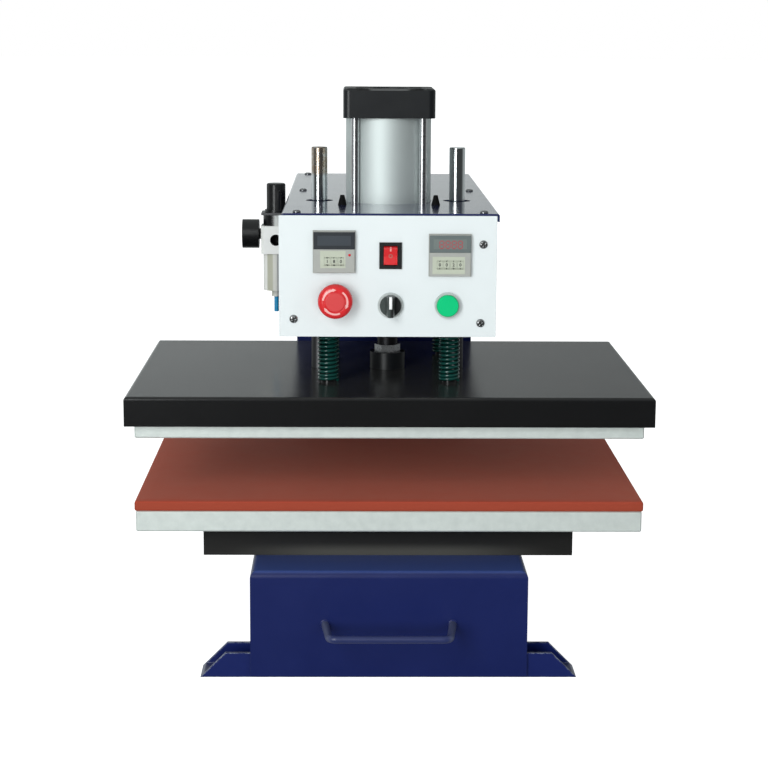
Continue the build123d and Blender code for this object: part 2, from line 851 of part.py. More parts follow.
def panel_unit(place, count):
    """A thermostat or timer: front, flange and body, with pockets for its thumbwheels."""
    x, z = place[0], panel_bottom + place[1]

    def slab(width, height, y0, y1):
        return block(x - width / 2, x + width / 2, y0, y1, z - height / 2, z + height / 2)

    unit = slab(unit_size, unit_size, unit_front(), panel_front - unit_flange)
    unit += slab(unit_flange_size, unit_flange_size, panel_front - unit_flange, panel_front)
    unit += slab(unit_body, unit_body, panel_front, panel_front + unit_depth)
    window_top = z + unit_size / 2 - unit_window_drop
    unit -= block(x - unit_window_width / 2, x + unit_window_width / 2, unit_front(),
                  unit_front() + unit_window_depth, window_top - unit_window_height, window_top)
    row, height = wheel_axle(place)
    middles = wheel_middles(place, count)
    half = wheel_width / 2 + wheel_gap
    for middle in middles:
        unit -= across(wheel_radius + wheel_gap, row, height, middle - half, middle + half)
    return unit + across(axle_diameter / 2, row, height, middles[0] - half, middles[-1] + half)


def thumbwheel(place, middle):
    """A drum with one flat for each digit."""
    row, height = wheel_axle(place)
    side = Plane(origin=(middle - wheel_width / 2, row, height), x_dir=(0, 1, 0), z_dir=(1, 0, 0))
    turn = Rot(0, 0, 180 / wheel_faces)
    drum = extrude(side * turn * RegularPolygon(wheel_radius, wheel_faces), wheel_width)
    return drum - across(axle_diameter / 2 + running_gap, row, height,
                         middle - wheel_width / 2, middle + wheel_width / 2)


def button_base(place, ring_proud, bore, depth):
    """A 22 mm control's ring, neck and switch block, with a blind bore for what moves in it."""
    x, z = place[0], panel_bottom + place[1]
    front = panel_front - ring_proud
    neck_back = panel_front + button_neck
    base = inward(button_ring / 2, x, z, front, panel_front)
    base += inward(button_hole / 2, x, z, panel_front, neck_back)
    half = button_block / 2
    base += block(x - half, x + half, neck_back, neck_back + button_block_depth,
                  z - half, z + half)
    return base - inward(bore / 2 + running_gap, x, z, front, front + depth)


def start_button_base():
    """The start button's base, whose deeper ring is a cup around the cap."""
    x, z = start_place[0], panel_bottom + start_place[1]
    base = button_base(start_place, start_ring_proud, stem_diameter, start_stem_depth)
    front = panel_front - start_ring_proud
    return base - inward(start_cap / 2 + slide_gap, x, z, front, front + start_cup_depth)


def emergency_stop_stem():
    x, z = stop_place[0], panel_bottom + stop_place[1]
    shoulder = panel_front - button_ring_proud - stop_travel - free_gap
    stem_back = panel_front - button_ring_proud + stop_stem_depth - stop_travel - free_gap
    stem = inward(stem_diameter / 2, x, z, shoulder, stem_back)
    pin_front = shoulder - stop_neck_height - stop_head_height / 2
    return stem + inward(stop_pin / 2, x, z, pin_front, shoulder)


def emergency_stop_head():
    """The mushroom, turned on its stem, with a domed rim and a raised middle."""
    x, z = stop_place[0], panel_bottom + stop_place[1]
    radius, neck = stop_head / 2, stop_neck / 2
    low, high = stop_neck_height, stop_neck_height + stop_head_height
    with BuildSketch(Plane.XZ) as outline:
        with BuildLine():
            rim = low + stop_rim
            shelf = high - stop_crown
            Polyline((0, 0), (neck, 0), (neck, low), (radius, low), (radius, rim))
            ThreePointArc((radius, rim), (radius * stop_bulge_place, (rim + shelf) / 2 + stop_bulge),
                          (stop_middle / 2, shelf))
            Polyline((stop_middle / 2, shelf), (stop_middle / 2 - stop_crown, high),
                     (0, high), (0, 0))
        make_face()
    head = revolve(outline.sketch, Axis.Z)
    pin_room = stop_neck_height + stop_head_height / 2 + hole_gap
    head -= upright(stop_pin / 2 + running_gap, 0, 0, 0, pin_room)
    shoulder = panel_front - button_ring_proud - stop_travel - free_gap
    return Pos(x, shoulder, z) * Rot(90, 0, 0) * head


def start_button():
    x, z = start_place[0], panel_bottom + start_place[1]
    cup_floor = panel_front - start_ring_proud + start_cup_depth
    cap_back = cup_floor - start_travel - free_gap
    cap = inward(start_cap / 2, x, z, cap_back - start_cap_height, cap_back)
    cap = chamfer(cap.edges().sort_by(Axis.Y)[0], start_edge)
    stem_back = panel_front - start_ring_proud + start_stem_depth - start_travel - free_gap
    return cap + inward(stem_diameter / 2, x, z, cap_back, stem_back)


def selector_knob():
    """A round base with a grip bar that narrows towards its front."""
    x, z = selector_place[0], panel_bottom + selector_place[1]
    spindle = upright(stem_diameter / 2, 0, 0, -button_bore_depth + free_gap, 0)
    base = upright(selector_base / 2, 0, 0, 0, selector_base_height)
    low, high = selector_base_height, selector_base_height + selector_grip_height
    wedge = [(-selector_grip / 2, low), (selector_grip / 2, low),
             (selector_crest / 2, high), (-selector_crest / 2, high)]
    bar = section(wedge, Plane.XZ.offset(-selector_base / 2), selector_base)
    knob = spindle + base + (bar & upright(selector_base / 2, 0, 0, low, high))
    return Pos(x, panel_front - button_ring_proud, z) * Rot(90, 0, 0) * knob


def rocker_centre():
    x, z = rocker_place[0], panel_bottom + rocker_place[1]
    return x, panel_front - rocker_frame_proud + rocker_pivot, z


def rocker_bezel():
    """The rocker switch's frame and body, open at the front, with the rocker's axle."""
    x, y, z = rocker_centre()
    front = panel_front - rocker_frame_proud

    def slab(width, height, y0, y1):
        return block(x - width / 2, x + width / 2, y0, y1, z - height / 2, z + height / 2)

    inner = 2 * (rocker_lip + hole_gap)
    bezel = slab(rocker_frame_width, rocker_frame_height, front, panel_front)
    bezel += slab(rocker_frame_width - inner, rocker_frame_height - inner,
                  panel_front, panel_front + rocker_depth + rocker_floor)
    bezel -= slab(rocker_room_width, rocker_room_height, front, panel_front + rocker_depth)
    half = rocker_room_width / 2
    return bezel + across(axle_diameter / 2, y, z, x - half, x + half)


def rocker():
    """A rocker with a shallow hollow front, resting with its lower half pressed in."""
    x, y, z = rocker_centre()
    half = rocker_width / 2
    body = across(rocker_radius, 0, 0, -half, half)
    rise = rocker_radius * math.tan(math.radians(rocker_tilt))
    middle = rocker_pivot
    front = [(-rocker_radius, -middle - rise), (0, -middle), (rocker_radius, -middle - rise),
             (rocker_radius, rocker_radius), (-rocker_radius, rocker_radius)]
    side = Plane(origin=(-half, 0, 0), x_dir=(0, 0, 1), z_dir=(-1, 0, 0))
    keep = extrude(side * Polygon(*front, align=None), -rocker_width)
    body = body & keep
    body -= across(axle_diameter / 2 + running_gap, 0, 0, -half, half)
    return Pos(x, y, z) * Rot(rocker_tilt, 0, 0) * body


# Filter regulator
def regulator_body():
    """The cast body with a threaded air inlet in its front."""
    half = regulator_width / 2
    body = block(regulator_x - half, regulator_x + half, regulator_row - half,
                 regulator_row + half, regulator_bottom, regulator_top)
    body = chamfer(body.edges().filter_by(Axis.Z), regulator_edge)
    front = regulator_row - half
    return body - inward(regulator_port / 2, regulator_x, regulator_bottom + regulator_port_height,
                         front, front + regulator_port_depth)


def regulator_bracket():
    """An angle from the housing's wall, clamped between the bonnet and its nut."""
    wall = -housing_width / 2
    low = bracket_bottom
    half = bracket_length / 2
    ledge = block(regulator_x - half, wall, regulator_row - half, regulator_row + half,
                  low, low + bracket_sheet)
    rise = block(wall - bracket_sheet / 2, wall, regulator_row - half, regulator_row + half,
                 low, low + bracket_rise)
    bore = upright(bonnet_neck / 2 + hole_gap, regulator_x, regulator_row,
                   low, low + bracket_sheet)
    return ledge + rise - bore


def regulator_bonnet():
    """The bonnet with its ring nut and the stem that the knob turns on."""
    neck_top = bracket_bottom + bracket_sheet
    bonnet = upright(bonnet_diameter / 2, regulator_x, regulator_row, regulator_top, bracket_bottom)
    bonnet += upright(bonnet_neck / 2, regulator_x, regulator_row, bracket_bottom, neck_top)
    bonnet += upright(nut_diameter / 2, regulator_x, regulator_row, neck_top, knob_bottom)
    return bonnet + upright(knob_stem / 2, regulator_x, regulator_row,
                            knob_bottom, knob_bottom + knob_height / 2)


def regulator_knob():
    low = knob_bottom
    knob = upright(knob_diameter / 2, 0, 0, low, low + knob_height)
    knob = chamfer(knob.edges().sort_by(Axis.Z)[-1], knob_edge)
    for rib in range(knob_ribs):
        notch = Rot(0, 0, rib * 360 / knob_ribs) * Pos(knob_diameter / 2, 0, low + knob_height / 2)
        knob -= notch * Box(knob_notch, knob_notch, knob_height)
    knob -= upright(knob_stem / 2 + running_gap, 0, 0, low, low + knob_height / 2 + hole_gap)
    return Pos(regulator_x, regulator_row) * knob


def pressure_gauge():
    """A round gauge on the left of the body, facing left."""
    height = regulator_bottom + gauge_height
    side = regulator_x - regulator_width / 2
    case_end = side - gauge_stem_length
    gauge = across(gauge_diameter / 2, regulator_row, height, case_end - gauge_depth, case_end)
    gauge -= across(gauge_diameter / 2 - gauge_rim, regulator_row, height,
                    case_end - gauge_depth, case_end - gauge_depth + gauge_rim)
    return gauge + across(gauge_stem / 2, regulator_row, height, case_end, side)


def filter_bowl():
    """A clear bowl under the body, with its drain."""
    outer = bowl_diameter / 2
    low = regulator_bottom - bowl_height
    bowl = upright(outer, regulator_x, regulator_row, low, regulator_bottom)
    bowl -= upright(outer - bowl_wall, regulator_x, regulator_row,
                    low + bowl_wall, regulator_bottom)
    return bowl + upright(drain_diameter / 2, regulator_x, regulator_row,
                          low - drain_height, low)


def drain_tube():
    low = regulator_bottom - bowl_height - drain_height
    return upright(tube_diameter / 2, regulator_x, regulator_row, low - tube_length, low)


# Inside and behind the housing
def solenoid_valve():
    """The valve that feeds the cylinder, on the arm behind it."""
    half = valve_width / 2
    body = block(-half, half, valve_row, valve_row + valve_depth, arm_top, arm_top + valve_height)
    middle = arm_top + valve_height / 2
    size = coil_size / 2
    row = valve_row + valve_depth / 2
    return body + block(half, half + coil_length, row - size, row + size,
                        middle - size, middle + size)


def cable_gland():
    """The strain relief in the housing's back."""
    z = arm_top + gland_height
    hexagon_plane = Plane(origin=(gland_side, machine_back, z), z_dir=(0, 1, 0))
    outline = hexagon_plane * RegularPolygon(gland_size / 2, 6, major_radius=False)
    inner_end = machine_back - gland_reach
    gland = extrude(outline, gland_nut) + inward(gland_thread / 2, gland_side, z,
                                                 inner_end, gland_back)
    return gland - inward(gland_bore / 2, gland_side, z, inner_end, gland_back)


def nodes():
    """Every node's name and its solid or solids."""
    parts = {
        "base_frame": base_frame(),
        "slide_rails": slide_rails(),
        "column": column(),
        "head_frame": head_frame(),
        "cylinder_mount_plate": cylinder_mount_plate(),
        "guide_bearings": guide_bearings(),
        "cylinder_front_cap": cylinder_front_cap(),
        "cylinder_barrel": cylinder_barrel(),
        "cylinder_rear_cap": cylinder_rear_cap(),
        "tie_rods": tie_rods(),
        "head_housing": head_housing(),
        "top_plate": top_plate_node(),
        "housing_screws": housing_screws(),
        "plate_plugs": plate_plugs(),
        "control_panel": control_panel(),
        "thermostat": panel_unit(thermostat_place, thermostat_wheels),
        "timer": panel_unit(timer_place, timer_wheels),
        "emergency_stop_base": button_base(stop_place, button_ring_proud, stem_diameter,
                                           stop_stem_depth),
        "selector_base": button_base(selector_place, button_ring_proud, stem_diameter,
                                     button_bore_depth),
        "start_button_base": start_button_base(),
        "rocker_bezel": rocker_bezel(),
        "regulator_body": regulator_body(),
        "regulator_bracket": regulator_bracket(),
        "regulator_bonnet": regulator_bonnet(),
        "pressure_gauge": pressure_gauge(),
        "filter_bowl": filter_bowl(),
        "drain_tube": drain_tube(),
        "solenoid_valve": solenoid_valve(),
        "cable_gland": cable_gland(),
        "drawer_box": drawer_box(),
        "pull_handle": pull_handle(),
        "slide_bearers": slide_bearers(),
        "slide_carriages": slide_carriages(),
        "carriage_frame": carriage_frame(),
        "lower_platen": platen(frame_top, platen_top),
        "silicone_pad": silicone_pad(),
        "heat_plate": heat_plate(),
        "heating_elements": heating_elements(),
        "insulation_board": insulation_board(),
        "heat_cover": heat_cover(),
        "press_boss": press_boss(),
        "rod_nut": rod_nut(),
        "piston_rod": piston_rod(),
        "piston": piston(),
        "left_guide_rod": guide_rod(-1),
        "right_guide_rod": guide_rod(1),
        "return_springs": return_springs(),
        "emergency_stop_stem": emergency_stop_stem(),
        "emergency_stop_head": emergency_stop_head(),
        "start_button": start_button(),
        "selector_knob": selector_knob(),
        "rocker": rocker(),
        "regulator_knob": regulator_knob(),
    }
    for number, middle in enumerate(wheel_middles(thermostat_place, thermostat_wheels), 1):
        parts[f"thermostat_wheel_{number}"] = thumbwheel(thermostat_place, middle)
    for number, middle in enumerate(wheel_middles(timer_place, timer_wheels), 1):
        parts[f"timer_wheel_{number}"] = thumbwheel(timer_place, middle)
    return parts


os.makedirs("parts", exist_ok=True)
for name, shape in nodes().items():
    solids = shape if isinstance(shape, list) else [shape]
    placed = [Pos(0, frame_shift, 0) * solid for solid in solids]
    export_step(Compound(placed) if len(placed) > 1 else placed[0], f"parts/{name}.step")
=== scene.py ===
# %% [markdown]
# # A slide-out heat press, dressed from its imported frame
# The frame brings every rigid piece of the press in metres, already in place: the navy base and
# drawer, the two platens, the black cover, the white control head and the air cylinder. Two ways
# lead to a finished picture: model everything again, or keep the solids and give them finishes and
# the small things that a machinist's drawing leaves out. The second is used, because then every
# size stays true.

# %% Load the frame
import bpy
import bmesh
import json
import math
from mathutils import Matrix, Vector
from mathutils.bvhtree import BVHTree


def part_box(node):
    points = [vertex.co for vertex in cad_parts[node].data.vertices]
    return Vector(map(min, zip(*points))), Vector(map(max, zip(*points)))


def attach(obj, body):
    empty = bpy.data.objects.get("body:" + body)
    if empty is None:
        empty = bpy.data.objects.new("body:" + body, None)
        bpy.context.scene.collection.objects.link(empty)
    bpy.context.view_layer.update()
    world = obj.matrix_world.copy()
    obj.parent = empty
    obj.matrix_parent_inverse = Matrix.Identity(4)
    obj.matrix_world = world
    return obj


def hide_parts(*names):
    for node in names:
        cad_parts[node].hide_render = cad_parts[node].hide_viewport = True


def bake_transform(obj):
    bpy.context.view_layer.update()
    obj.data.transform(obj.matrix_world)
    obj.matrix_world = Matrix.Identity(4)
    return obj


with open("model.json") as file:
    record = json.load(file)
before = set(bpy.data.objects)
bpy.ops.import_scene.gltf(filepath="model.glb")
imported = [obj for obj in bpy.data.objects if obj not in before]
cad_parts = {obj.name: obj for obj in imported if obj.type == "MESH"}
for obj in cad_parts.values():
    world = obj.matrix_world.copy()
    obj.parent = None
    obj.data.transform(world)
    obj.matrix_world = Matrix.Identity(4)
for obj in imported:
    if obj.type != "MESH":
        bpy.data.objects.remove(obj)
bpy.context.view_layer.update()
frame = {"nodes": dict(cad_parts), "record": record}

# %% [markdown]
# ## The camera
# The photograph was taken from a little above the platens and from some way back, which is why the
# two plates look wide and shallow. The lens, the place and the tilt were worked out from the
# corners of the two platens, the panel and the cylinder's cap, so the camera has no shift at all.

# %% Camera
LENS = 92.45
SENSOR = 36.0
CLIP_RANGE = (0.05, 200.0)
CAMERA_PLACE = Vector((-0.0435, -2.56035, 0.7716))
CAMERA_PITCH = math.radians(10.408)
CAMERA_YAW = math.radians(0.917)
CAMERA_ROLL = math.radians(0.308)

camera_data = bpy.data.cameras.new("camera")
camera_data.lens = LENS
camera_data.sensor_width = SENSOR
camera_data.clip_start, camera_data.clip_end = CLIP_RANGE
camera = bpy.data.objects.new("camera", camera_data)
bpy.context.scene.collection.objects.link(camera)
turn = Matrix.Rotation(-CAMERA_YAW, 4, "Z")
tilt = Matrix.Rotation(math.pi / 2 - CAMERA_PITCH, 4, "X")
roll = Matrix.Rotation(CAMERA_ROLL, 4, "Z")
camera.matrix_world = Matrix.Translation(CAMERA_PLACE) @ turn @ tilt @ roll
bpy.context.scene.camera = camera
print("camera", tuple(round(v, 3) for v in camera.location))

# %% [markdown]
# ## Helpers for meshes
# Small parts repeat: plates, rings, dots and letters. Each helper fills a bmesh, gives it a
# material and hands back an object, so that a later cell only says where the piece sits and what
# it rides on. Flat artwork is made facing up, and UPRIGHT turns it to face the front.

# %% New pieces
MM = 0.001
UPRIGHT = Matrix.Rotation(math.pi / 2, 4, "X")


def centre_of(node):
    """The middle of a node's box."""
    low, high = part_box(node)
    return (low + high) / 2


def show(name, data):
    """A new object in the scene."""
    piece = bpy.data.objects.new(name, data)
    bpy.context.scene.collection.objects.link(piece)
    return piece


def mesh_from(name, made, smooth=True):
    """A mesh from a bmesh, which is freed."""
    mesh = bpy.data.meshes.new(name)
    bmesh.ops.recalc_face_normals(made, faces=made.faces)
    made.to_mesh(mesh)
    made.free()
    mesh.polygons.foreach_set("use_smooth", [smooth] * len(mesh.polygons))
    return mesh


def add_piece(name, shape, material, body, smooth=True):
    """An object from a mesh or a bmesh, with its finish, riding on a body."""
    mesh = mesh_from(name, shape, smooth) if isinstance(shape, bmesh.types.BMesh) else shape
    mesh.materials.append(material)
    piece = show(name, mesh)
    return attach(piece, body)


print("one millimetre is", MM)

# %% [markdown]
# ### Blocks and turned shapes
# Plates are blocks with softened edges, and screw heads, lamps and dials are turned round an axis as
# on a lathe. A cube with a Bevel modifier or a line with a Screw modifier would do it too, but points
# that go straight into one bmesh let several shapes make up one piece.

# %% Blocks and turned shapes
def add_block(made, low, high, edge=0.0, steps=2):
    """A block between two corners, with its edges rounded, added to a bmesh."""
    low, high = Vector(low), Vector(high)
    shape = Matrix.Translation((low + high) / 2) @ Matrix.Diagonal((*(high - low), 1.0))
    block = bmesh.ops.create_cube(made, size=1.0, matrix=shape)
    if edge:
        edges = list({e for v in block["verts"] for e in v.link_edges})
        bmesh.ops.bevel(made, geom=edges, offset=edge, segments=steps, profile=0.5, affect="EDGES")


def add_turned(made, profile, steps, place=Matrix.Identity(4)):
    """A profile of (radius, height) points turned round Z, added to a bmesh."""
    rings = []
    for number in range(steps):
        angle = 2 * math.pi * number / steps
        rings.append([made.verts.new(place @ Vector((r * math.cos(angle), r * math.sin(angle), h)))
                      for r, h in profile])
    for here, there in zip(rings, rings[1:] + rings[:1]):
        for k in range(len(profile) - 1):
            made.faces.new([here[k], there[k], there[k + 1], here[k + 1]])
    bmesh.ops.remove_doubles(made, verts=made.verts, dist=1e-7)


def add_mesh(made, mesh, place):
    """A copy of a mesh, put in a place, added to a bmesh."""
    before = set(made.verts)
    made.from_mesh(mesh)
    bmesh.ops.transform(made, matrix=place, verts=[v for v in made.verts if v not in before])


print("shapes", add_block.__name__, add_turned.__name__, add_mesh.__name__)

# %% [markdown]
# ### Words, wire and welds
# A text curve gives digits as real faces, and a curve with a bevel gives a tube along any path. Both
# become meshes at once, because the export takes meshes. Where the radius of the points changes a
# little, the same tube gets the ripples of a weld.

# %% Words and tubes
RIPPLE_STEP = 2.4


def curve_mesh(curve):
    """The mesh of a curve, which is removed."""
    holder = show(curve.name, curve)
    mesh = bpy.data.meshes.new_from_object(holder)
    bpy.data.objects.remove(holder)
    bpy.data.curves.remove(curve)
    return mesh


def text_mesh(name, body, size, bold=0.0):
    """A short text as a mesh in the XY plane, with its middle at the origin."""
    curve = bpy.data.curves.new(name, "FONT")
    curve.body = body
    curve.size = size
    curve.offset = bold
    curve.resolution_u = 3
    curve.align_x = "CENTER"
    curve.align_y = "CENTER"
    return curve_mesh(curve)


def tube_mesh(name, points, radius, closed=False, ripple=0.0):
    """A round tube along points, as a mesh. Its radius may ripple by a share of itself."""
    curve = bpy.data.curves.new(name, "CURVE")
    curve.dimensions = "3D"
    curve.bevel_depth = radius
    curve.bevel_resolution = 2
    curve.use_fill_caps = True
    spline = curve.splines.new("POLY")
    spline.points.add(len(points) - 1)
    for number, (point, place) in enumerate(zip(spline.points, points)):
        point.co = (*place, 1.0)
        point.radius = 1.0 + ripple * math.sin(number * RIPPLE_STEP)
    spline.use_cyclic_u = closed
    mesh = curve_mesh(curve)
    mesh.polygons.foreach_set("use_smooth", [True] * len(mesh.polygons))
    return mesh


print("curves", text_mesh.__name__, tube_mesh.__name__)

# %% [markdown]
# ## Helpers for materials
# A shader is a tree of small sums. These helpers each make one node and hand back its socket, so a
# mask reads like a formula: noise of a size in metres, a value spread from one range to another,
# and two colours mixed by a mask.

# %% Node helpers
def new_group(name, inputs, outputs):
    """An empty shader node group with its sockets, given as name: (kind, default)."""
    tree = bpy.data.node_groups.new(name, "ShaderNodeTree")
    for label, (kind, value) in inputs.items():
        socket = tree.interface.new_socket(label, in_out="INPUT", socket_type="NodeSocket" + kind)
        socket.default_value = value
    for label, kind in outputs.items():
        tree.interface.new_socket(label, in_out="OUTPUT", socket_type="NodeSocket" + kind)
    return tree, tree.nodes.new("NodeGroupInput").outputs, tree.nodes.new("NodeGroupOutput").inputs


def add_node(tree, kind, sockets=None, **settings):
    """A node with its properties set. A socket takes a value, or is linked to another socket."""
    made = tree.nodes.new("ShaderNode" + kind)
    for label, value in settings.items():
        setattr(made, label, value)
    for label, value in (sockets or {}).items():
        if isinstance(value, bpy.types.NodeSocket):
            tree.links.new(value, made.inputs[label])
        else:
            made.inputs[label].default_value = value
    return made


def calculate(tree, operation, *values, clamp=False):
    """The result of a Math node."""
    return add_node(tree, "Math", dict(enumerate(values)), operation=operation,
                    use_clamp=clamp).outputs[0]


def spread(tree, value, start, end, low=0.0, high=1.0, way="LINEAR"):
    """A value between start and end, carried over to between low and high."""
    return add_node(tree, "MapRange", {"Value": value, "From Min": start, "From Max": end,
                                       "To Min": low, "To Max": high},
                    interpolation_type=way).outputs[0]


def fade(tree, value, start, end):
    """A smooth mask from 0 at start to 1 at end."""
    return spread(tree, value, start, end, way="SMOOTHSTEP")


def mix_colours(tree, mask, below, above, way="MIX"):
    """A colour mix: below where the mask is 0 and above where it is 1."""
    return add_node(tree, "Mix", {"Factor": mask, 6: below, 7: above}, data_type="RGBA",
                    blend_type=way).outputs[2]


print("node helpers", calculate.__name__, spread.__name__, fade.__name__, mix_colours.__name__)

# %% [markdown]
# ### Places on a piece
# A mask has to know where it is. The Object output of Texture Coordinate gives metres in the piece's
# own space, so a pattern keeps its true size and travels with the piece when a joint moves it.

# %% Places and noise
def own_place(tree):
    """A point's place in its solid's own coordinates, in metres."""
    return add_node(tree, "TexCoord").outputs["Object"]


def own_axes(tree):
    """X, Y and Z of a point in its solid's own coordinates."""
    return add_node(tree, "SeparateXYZ", {0: own_place(tree)}).outputs


def slope(tree):
    """How far a face looks up, from -1 to 1."""
    normal = add_node(tree, "NewGeometry").outputs["Normal"]
    return add_node(tree, "SeparateXYZ", {0: normal}).outputs["Z"]


def distance(tree, value, middle):
    """How far a coordinate is from a middle."""
    return calculate(tree, "ABSOLUTE", calculate(tree, "SUBTRACT", value, middle))


def noise(tree, size, detail, roughness=0.5, stretch=None):
    """Noise whose features have a size in metres."""
    where = own_place(tree)
    if stretch is not None:
        where = add_node(tree, "VectorMath", {0: where, 1: stretch}, operation="MULTIPLY").outputs[0]
    return add_node(tree, "TexNoise", {"Vector": where, "Scale": calculate(tree, "DIVIDE", 1.0, size),
                                       "Detail": detail, "Roughness": roughness}).outputs[0]


print("place helpers", slope.__name__, distance.__name__, noise.__name__)

# %% [markdown]
# ## Shared effects
# Paint, castings and bare metal differ in colour but wear in the same ways: cloudy variation, rubbed
# edges, dust on level faces, a fine skin and drawn lines from a tool. Each effect is one shader
# node group with named inputs. It gives a mask, a height or a normal and never a whole shader, so
# the same group serves forty finishes with other values.

# %% Cloudy variation
tree, given, result = new_group(
    "Cloudy variation", {"Size": ("Float", 0.05), "Contrast": ("Float", 1.0)}, {"Mask": "Float"})
half = calculate(tree, "SUBTRACT", noise(tree, given["Size"], 4.0, 0.6), 0.5)
wide = calculate(tree, "MULTIPLY_ADD", half, given["Contrast"], 0.5, clamp=True)
tree.links.new(wide, result["Mask"])
cloudy_variation = tree
print("effect", tree.name)

# %% [markdown]
# ### Rounded and rubbed edges
# A real edge is never a perfect corner. The Bevel node returns the normal that a small round would
# have, so the edge catches the light without more faces, and where that normal leaves the flat
# face's own normal lies the edge itself: that difference is the mask for wear.

# %% Edge wear
FLAT_TO_EDGE = (0.995, 0.85)
CHIP_RANGE = (0.42, 0.62)

tree, given, result = new_group(
    "Worn edges",
    {"Width": ("Float", 0.001), "Breakup": ("Float", 0.004), "Amount": ("Float", 0.5)},
    {"Mask": "Float", "Normal": "Vector"})
rounded = add_node(tree, "Bevel", {"Radius": given["Width"]}, samples=6).outputs[0]
sharp = add_node(tree, "NewGeometry").outputs["Normal"]
alike = add_node(tree, "VectorMath", {0: rounded, 1: sharp}, operation="DOT_PRODUCT").outputs["Value"]
edge = spread(tree, alike, *FLAT_TO_EDGE)
chips = spread(tree, noise(tree, given["Breakup"], 3.0), *CHIP_RANGE, 0.0, given["Amount"])
tree.links.new(calculate(tree, "MULTIPLY", edge, chips, clamp=True), result["Mask"])
tree.links.new(rounded, result["Normal"])
worn_edges = tree
print("effect", tree.name)

# %% [markdown]
# ### Dust
# Dust lies where a face looks up. The height of the normal tells that, and a drifting noise breaks
# it up, so nothing has to be painted by hand and an upright wall stays clean.

# %% Settled dust
LEVEL_RANGE = (0.5, 1.0)
DRIFT_RANGE = (0.35, 0.8)

tree, given, result = new_group(
    "Settled dust", {"Amount": ("Float", 0.2), "Size": ("Float", 0.03)}, {"Mask": "Float"})
level = spread(tree, slope(tree), *LEVEL_RANGE)
drift = spread(tree, noise(tree, given["Size"], 6.0, 0.7), *DRIFT_RANGE, 0.0, given["Amount"])
tree.links.new(calculate(tree, "MULTIPLY", level, drift), result["Mask"])
settled_dust = tree
print("effect", tree.name)

# %% [markdown]
# ### Skin
# Orange peel, moulded grain and the lines of a lathe are all small noise. Stretched along one axis
# it turns from grain into drawn lines, so one group serves paint, rubber and ground metal.

# %% Fine skin and drawn lines
tree, given, result = new_group(
    "Fine skin", {"Size": ("Float", 0.001), "Stretch": ("Vector", (1.0, 1.0, 1.0))},
    {"Height": "Float"})
skin = noise(tree, given["Size"], 2.0, stretch=given["Stretch"])
tree.links.new(skin, result["Height"])
fine_skin = tree
print("effect", tree.name)

# %% [markdown]
# ## One recipe for opaque finishes
# Every opaque finish is a Principled BSDF that stays in its own material, fed by the groups: two
# close colours mixed by the clouds, a third on the rubbed edges, dust on top, a roughness that
# moves a little, and a bump from the fine skin. Plain numbers are set on the shader's sockets.

# %% Finish recipe
DUST = (0.42, 0.38, 0.33, 1.0)
DUST_ROUGHNESS = 0.4
COAT_ROUGHNESS = 0.12
SWING = 0.08
BUMP_HEIGHT = 1.0 * MM
finishes = {}


def plain_material(name, plain):
    """A material and its shader, with plain numbers and colours set on the shader's sockets."""
    material = bpy.data.materials.new(name)
    material.use_nodes = True
    shader = material.node_tree.nodes["Principled BSDF"]
    for label, value in plain.items():
        shader.inputs[label].default_value = value
    return material, shader


def finish(name, dark, light, roughness, metallic=0.0, cloud=0.04, contrast=1.2, edge=0.0008,
           worn=None, wear=0.0, dust=0.0, skin=0.0008, stretch=(1.0, 1.0, 1.0), bump=0.03,
           specular=0.5, coat=0.0, sheen=None):
    """An opaque procedural material, kept in finishes. Colours are linear; sizes are metres."""
    material, shader = plain_material(name, {
        "Metallic": metallic, "Specular IOR Level": specular, "Coat Weight": coat,
        "Coat Roughness": COAT_ROUGHNESS, **(sheen or {})})
    tree = material.node_tree
    clouds = add_node(tree, "Group", {"Size": cloud, "Contrast": contrast},
                      node_tree=cloudy_variation).outputs["Mask"]
    edges = add_node(tree, "Group", {"Width": edge, "Amount": wear}, node_tree=worn_edges).outputs
    colour = mix_colours(tree, clouds, (*dark, 1.0), (*light, 1.0))
    if worn is not None:
        colour = mix_colours(tree, edges["Mask"], colour, (*worn, 1.0))
    rough = spread(tree, clouds, 0.0, 1.0, roughness * (1.0 - SWING), roughness * (1.0 + SWING))
    if dust:
        lying = add_node(tree, "Group", {"Amount": dust}, node_tree=settled_dust).outputs["Mask"]
        colour = mix_colours(tree, lying, colour, DUST)
        rough = calculate(tree, "MULTIPLY_ADD", lying, DUST_ROUGHNESS, rough, clamp=True)
    texture = add_node(tree, "Group", {"Size": skin, "Stretch": stretch}, node_tree=fine_skin)
    relief = add_node(tree, "Bump", {"Height": texture.outputs["Height"], "Normal": edges["Normal"],
                                     "Strength": bump, "Distance": BUMP_HEIGHT})
    tree.links.new(colour, shader.inputs["Base Color"])
    tree.links.new(rough, shader.inputs["Roughness"])
    tree.links.new(relief.outputs["Normal"], shader.inputs["Normal"])
    finishes[name] = material
    return material


print("recipe", finish.__name__)

# %% [markdown]
# ## Painted steel
# The base, the drawer, the column and the sheet housing are powder coated in a deep glossy navy, and
# the lid over the head is so glossy that it mirrors the pale room. The cover is a satin black that
# mirrors the springs, and the carriage frame is a duller black. Powder coat has a slight orange-peel
# skin, so its fine skin is about a millimetre wide and shallow. The base's cut edges are rubbed pale
# and the drawer's coat is a shade deeper, so those two get a navy of their own.

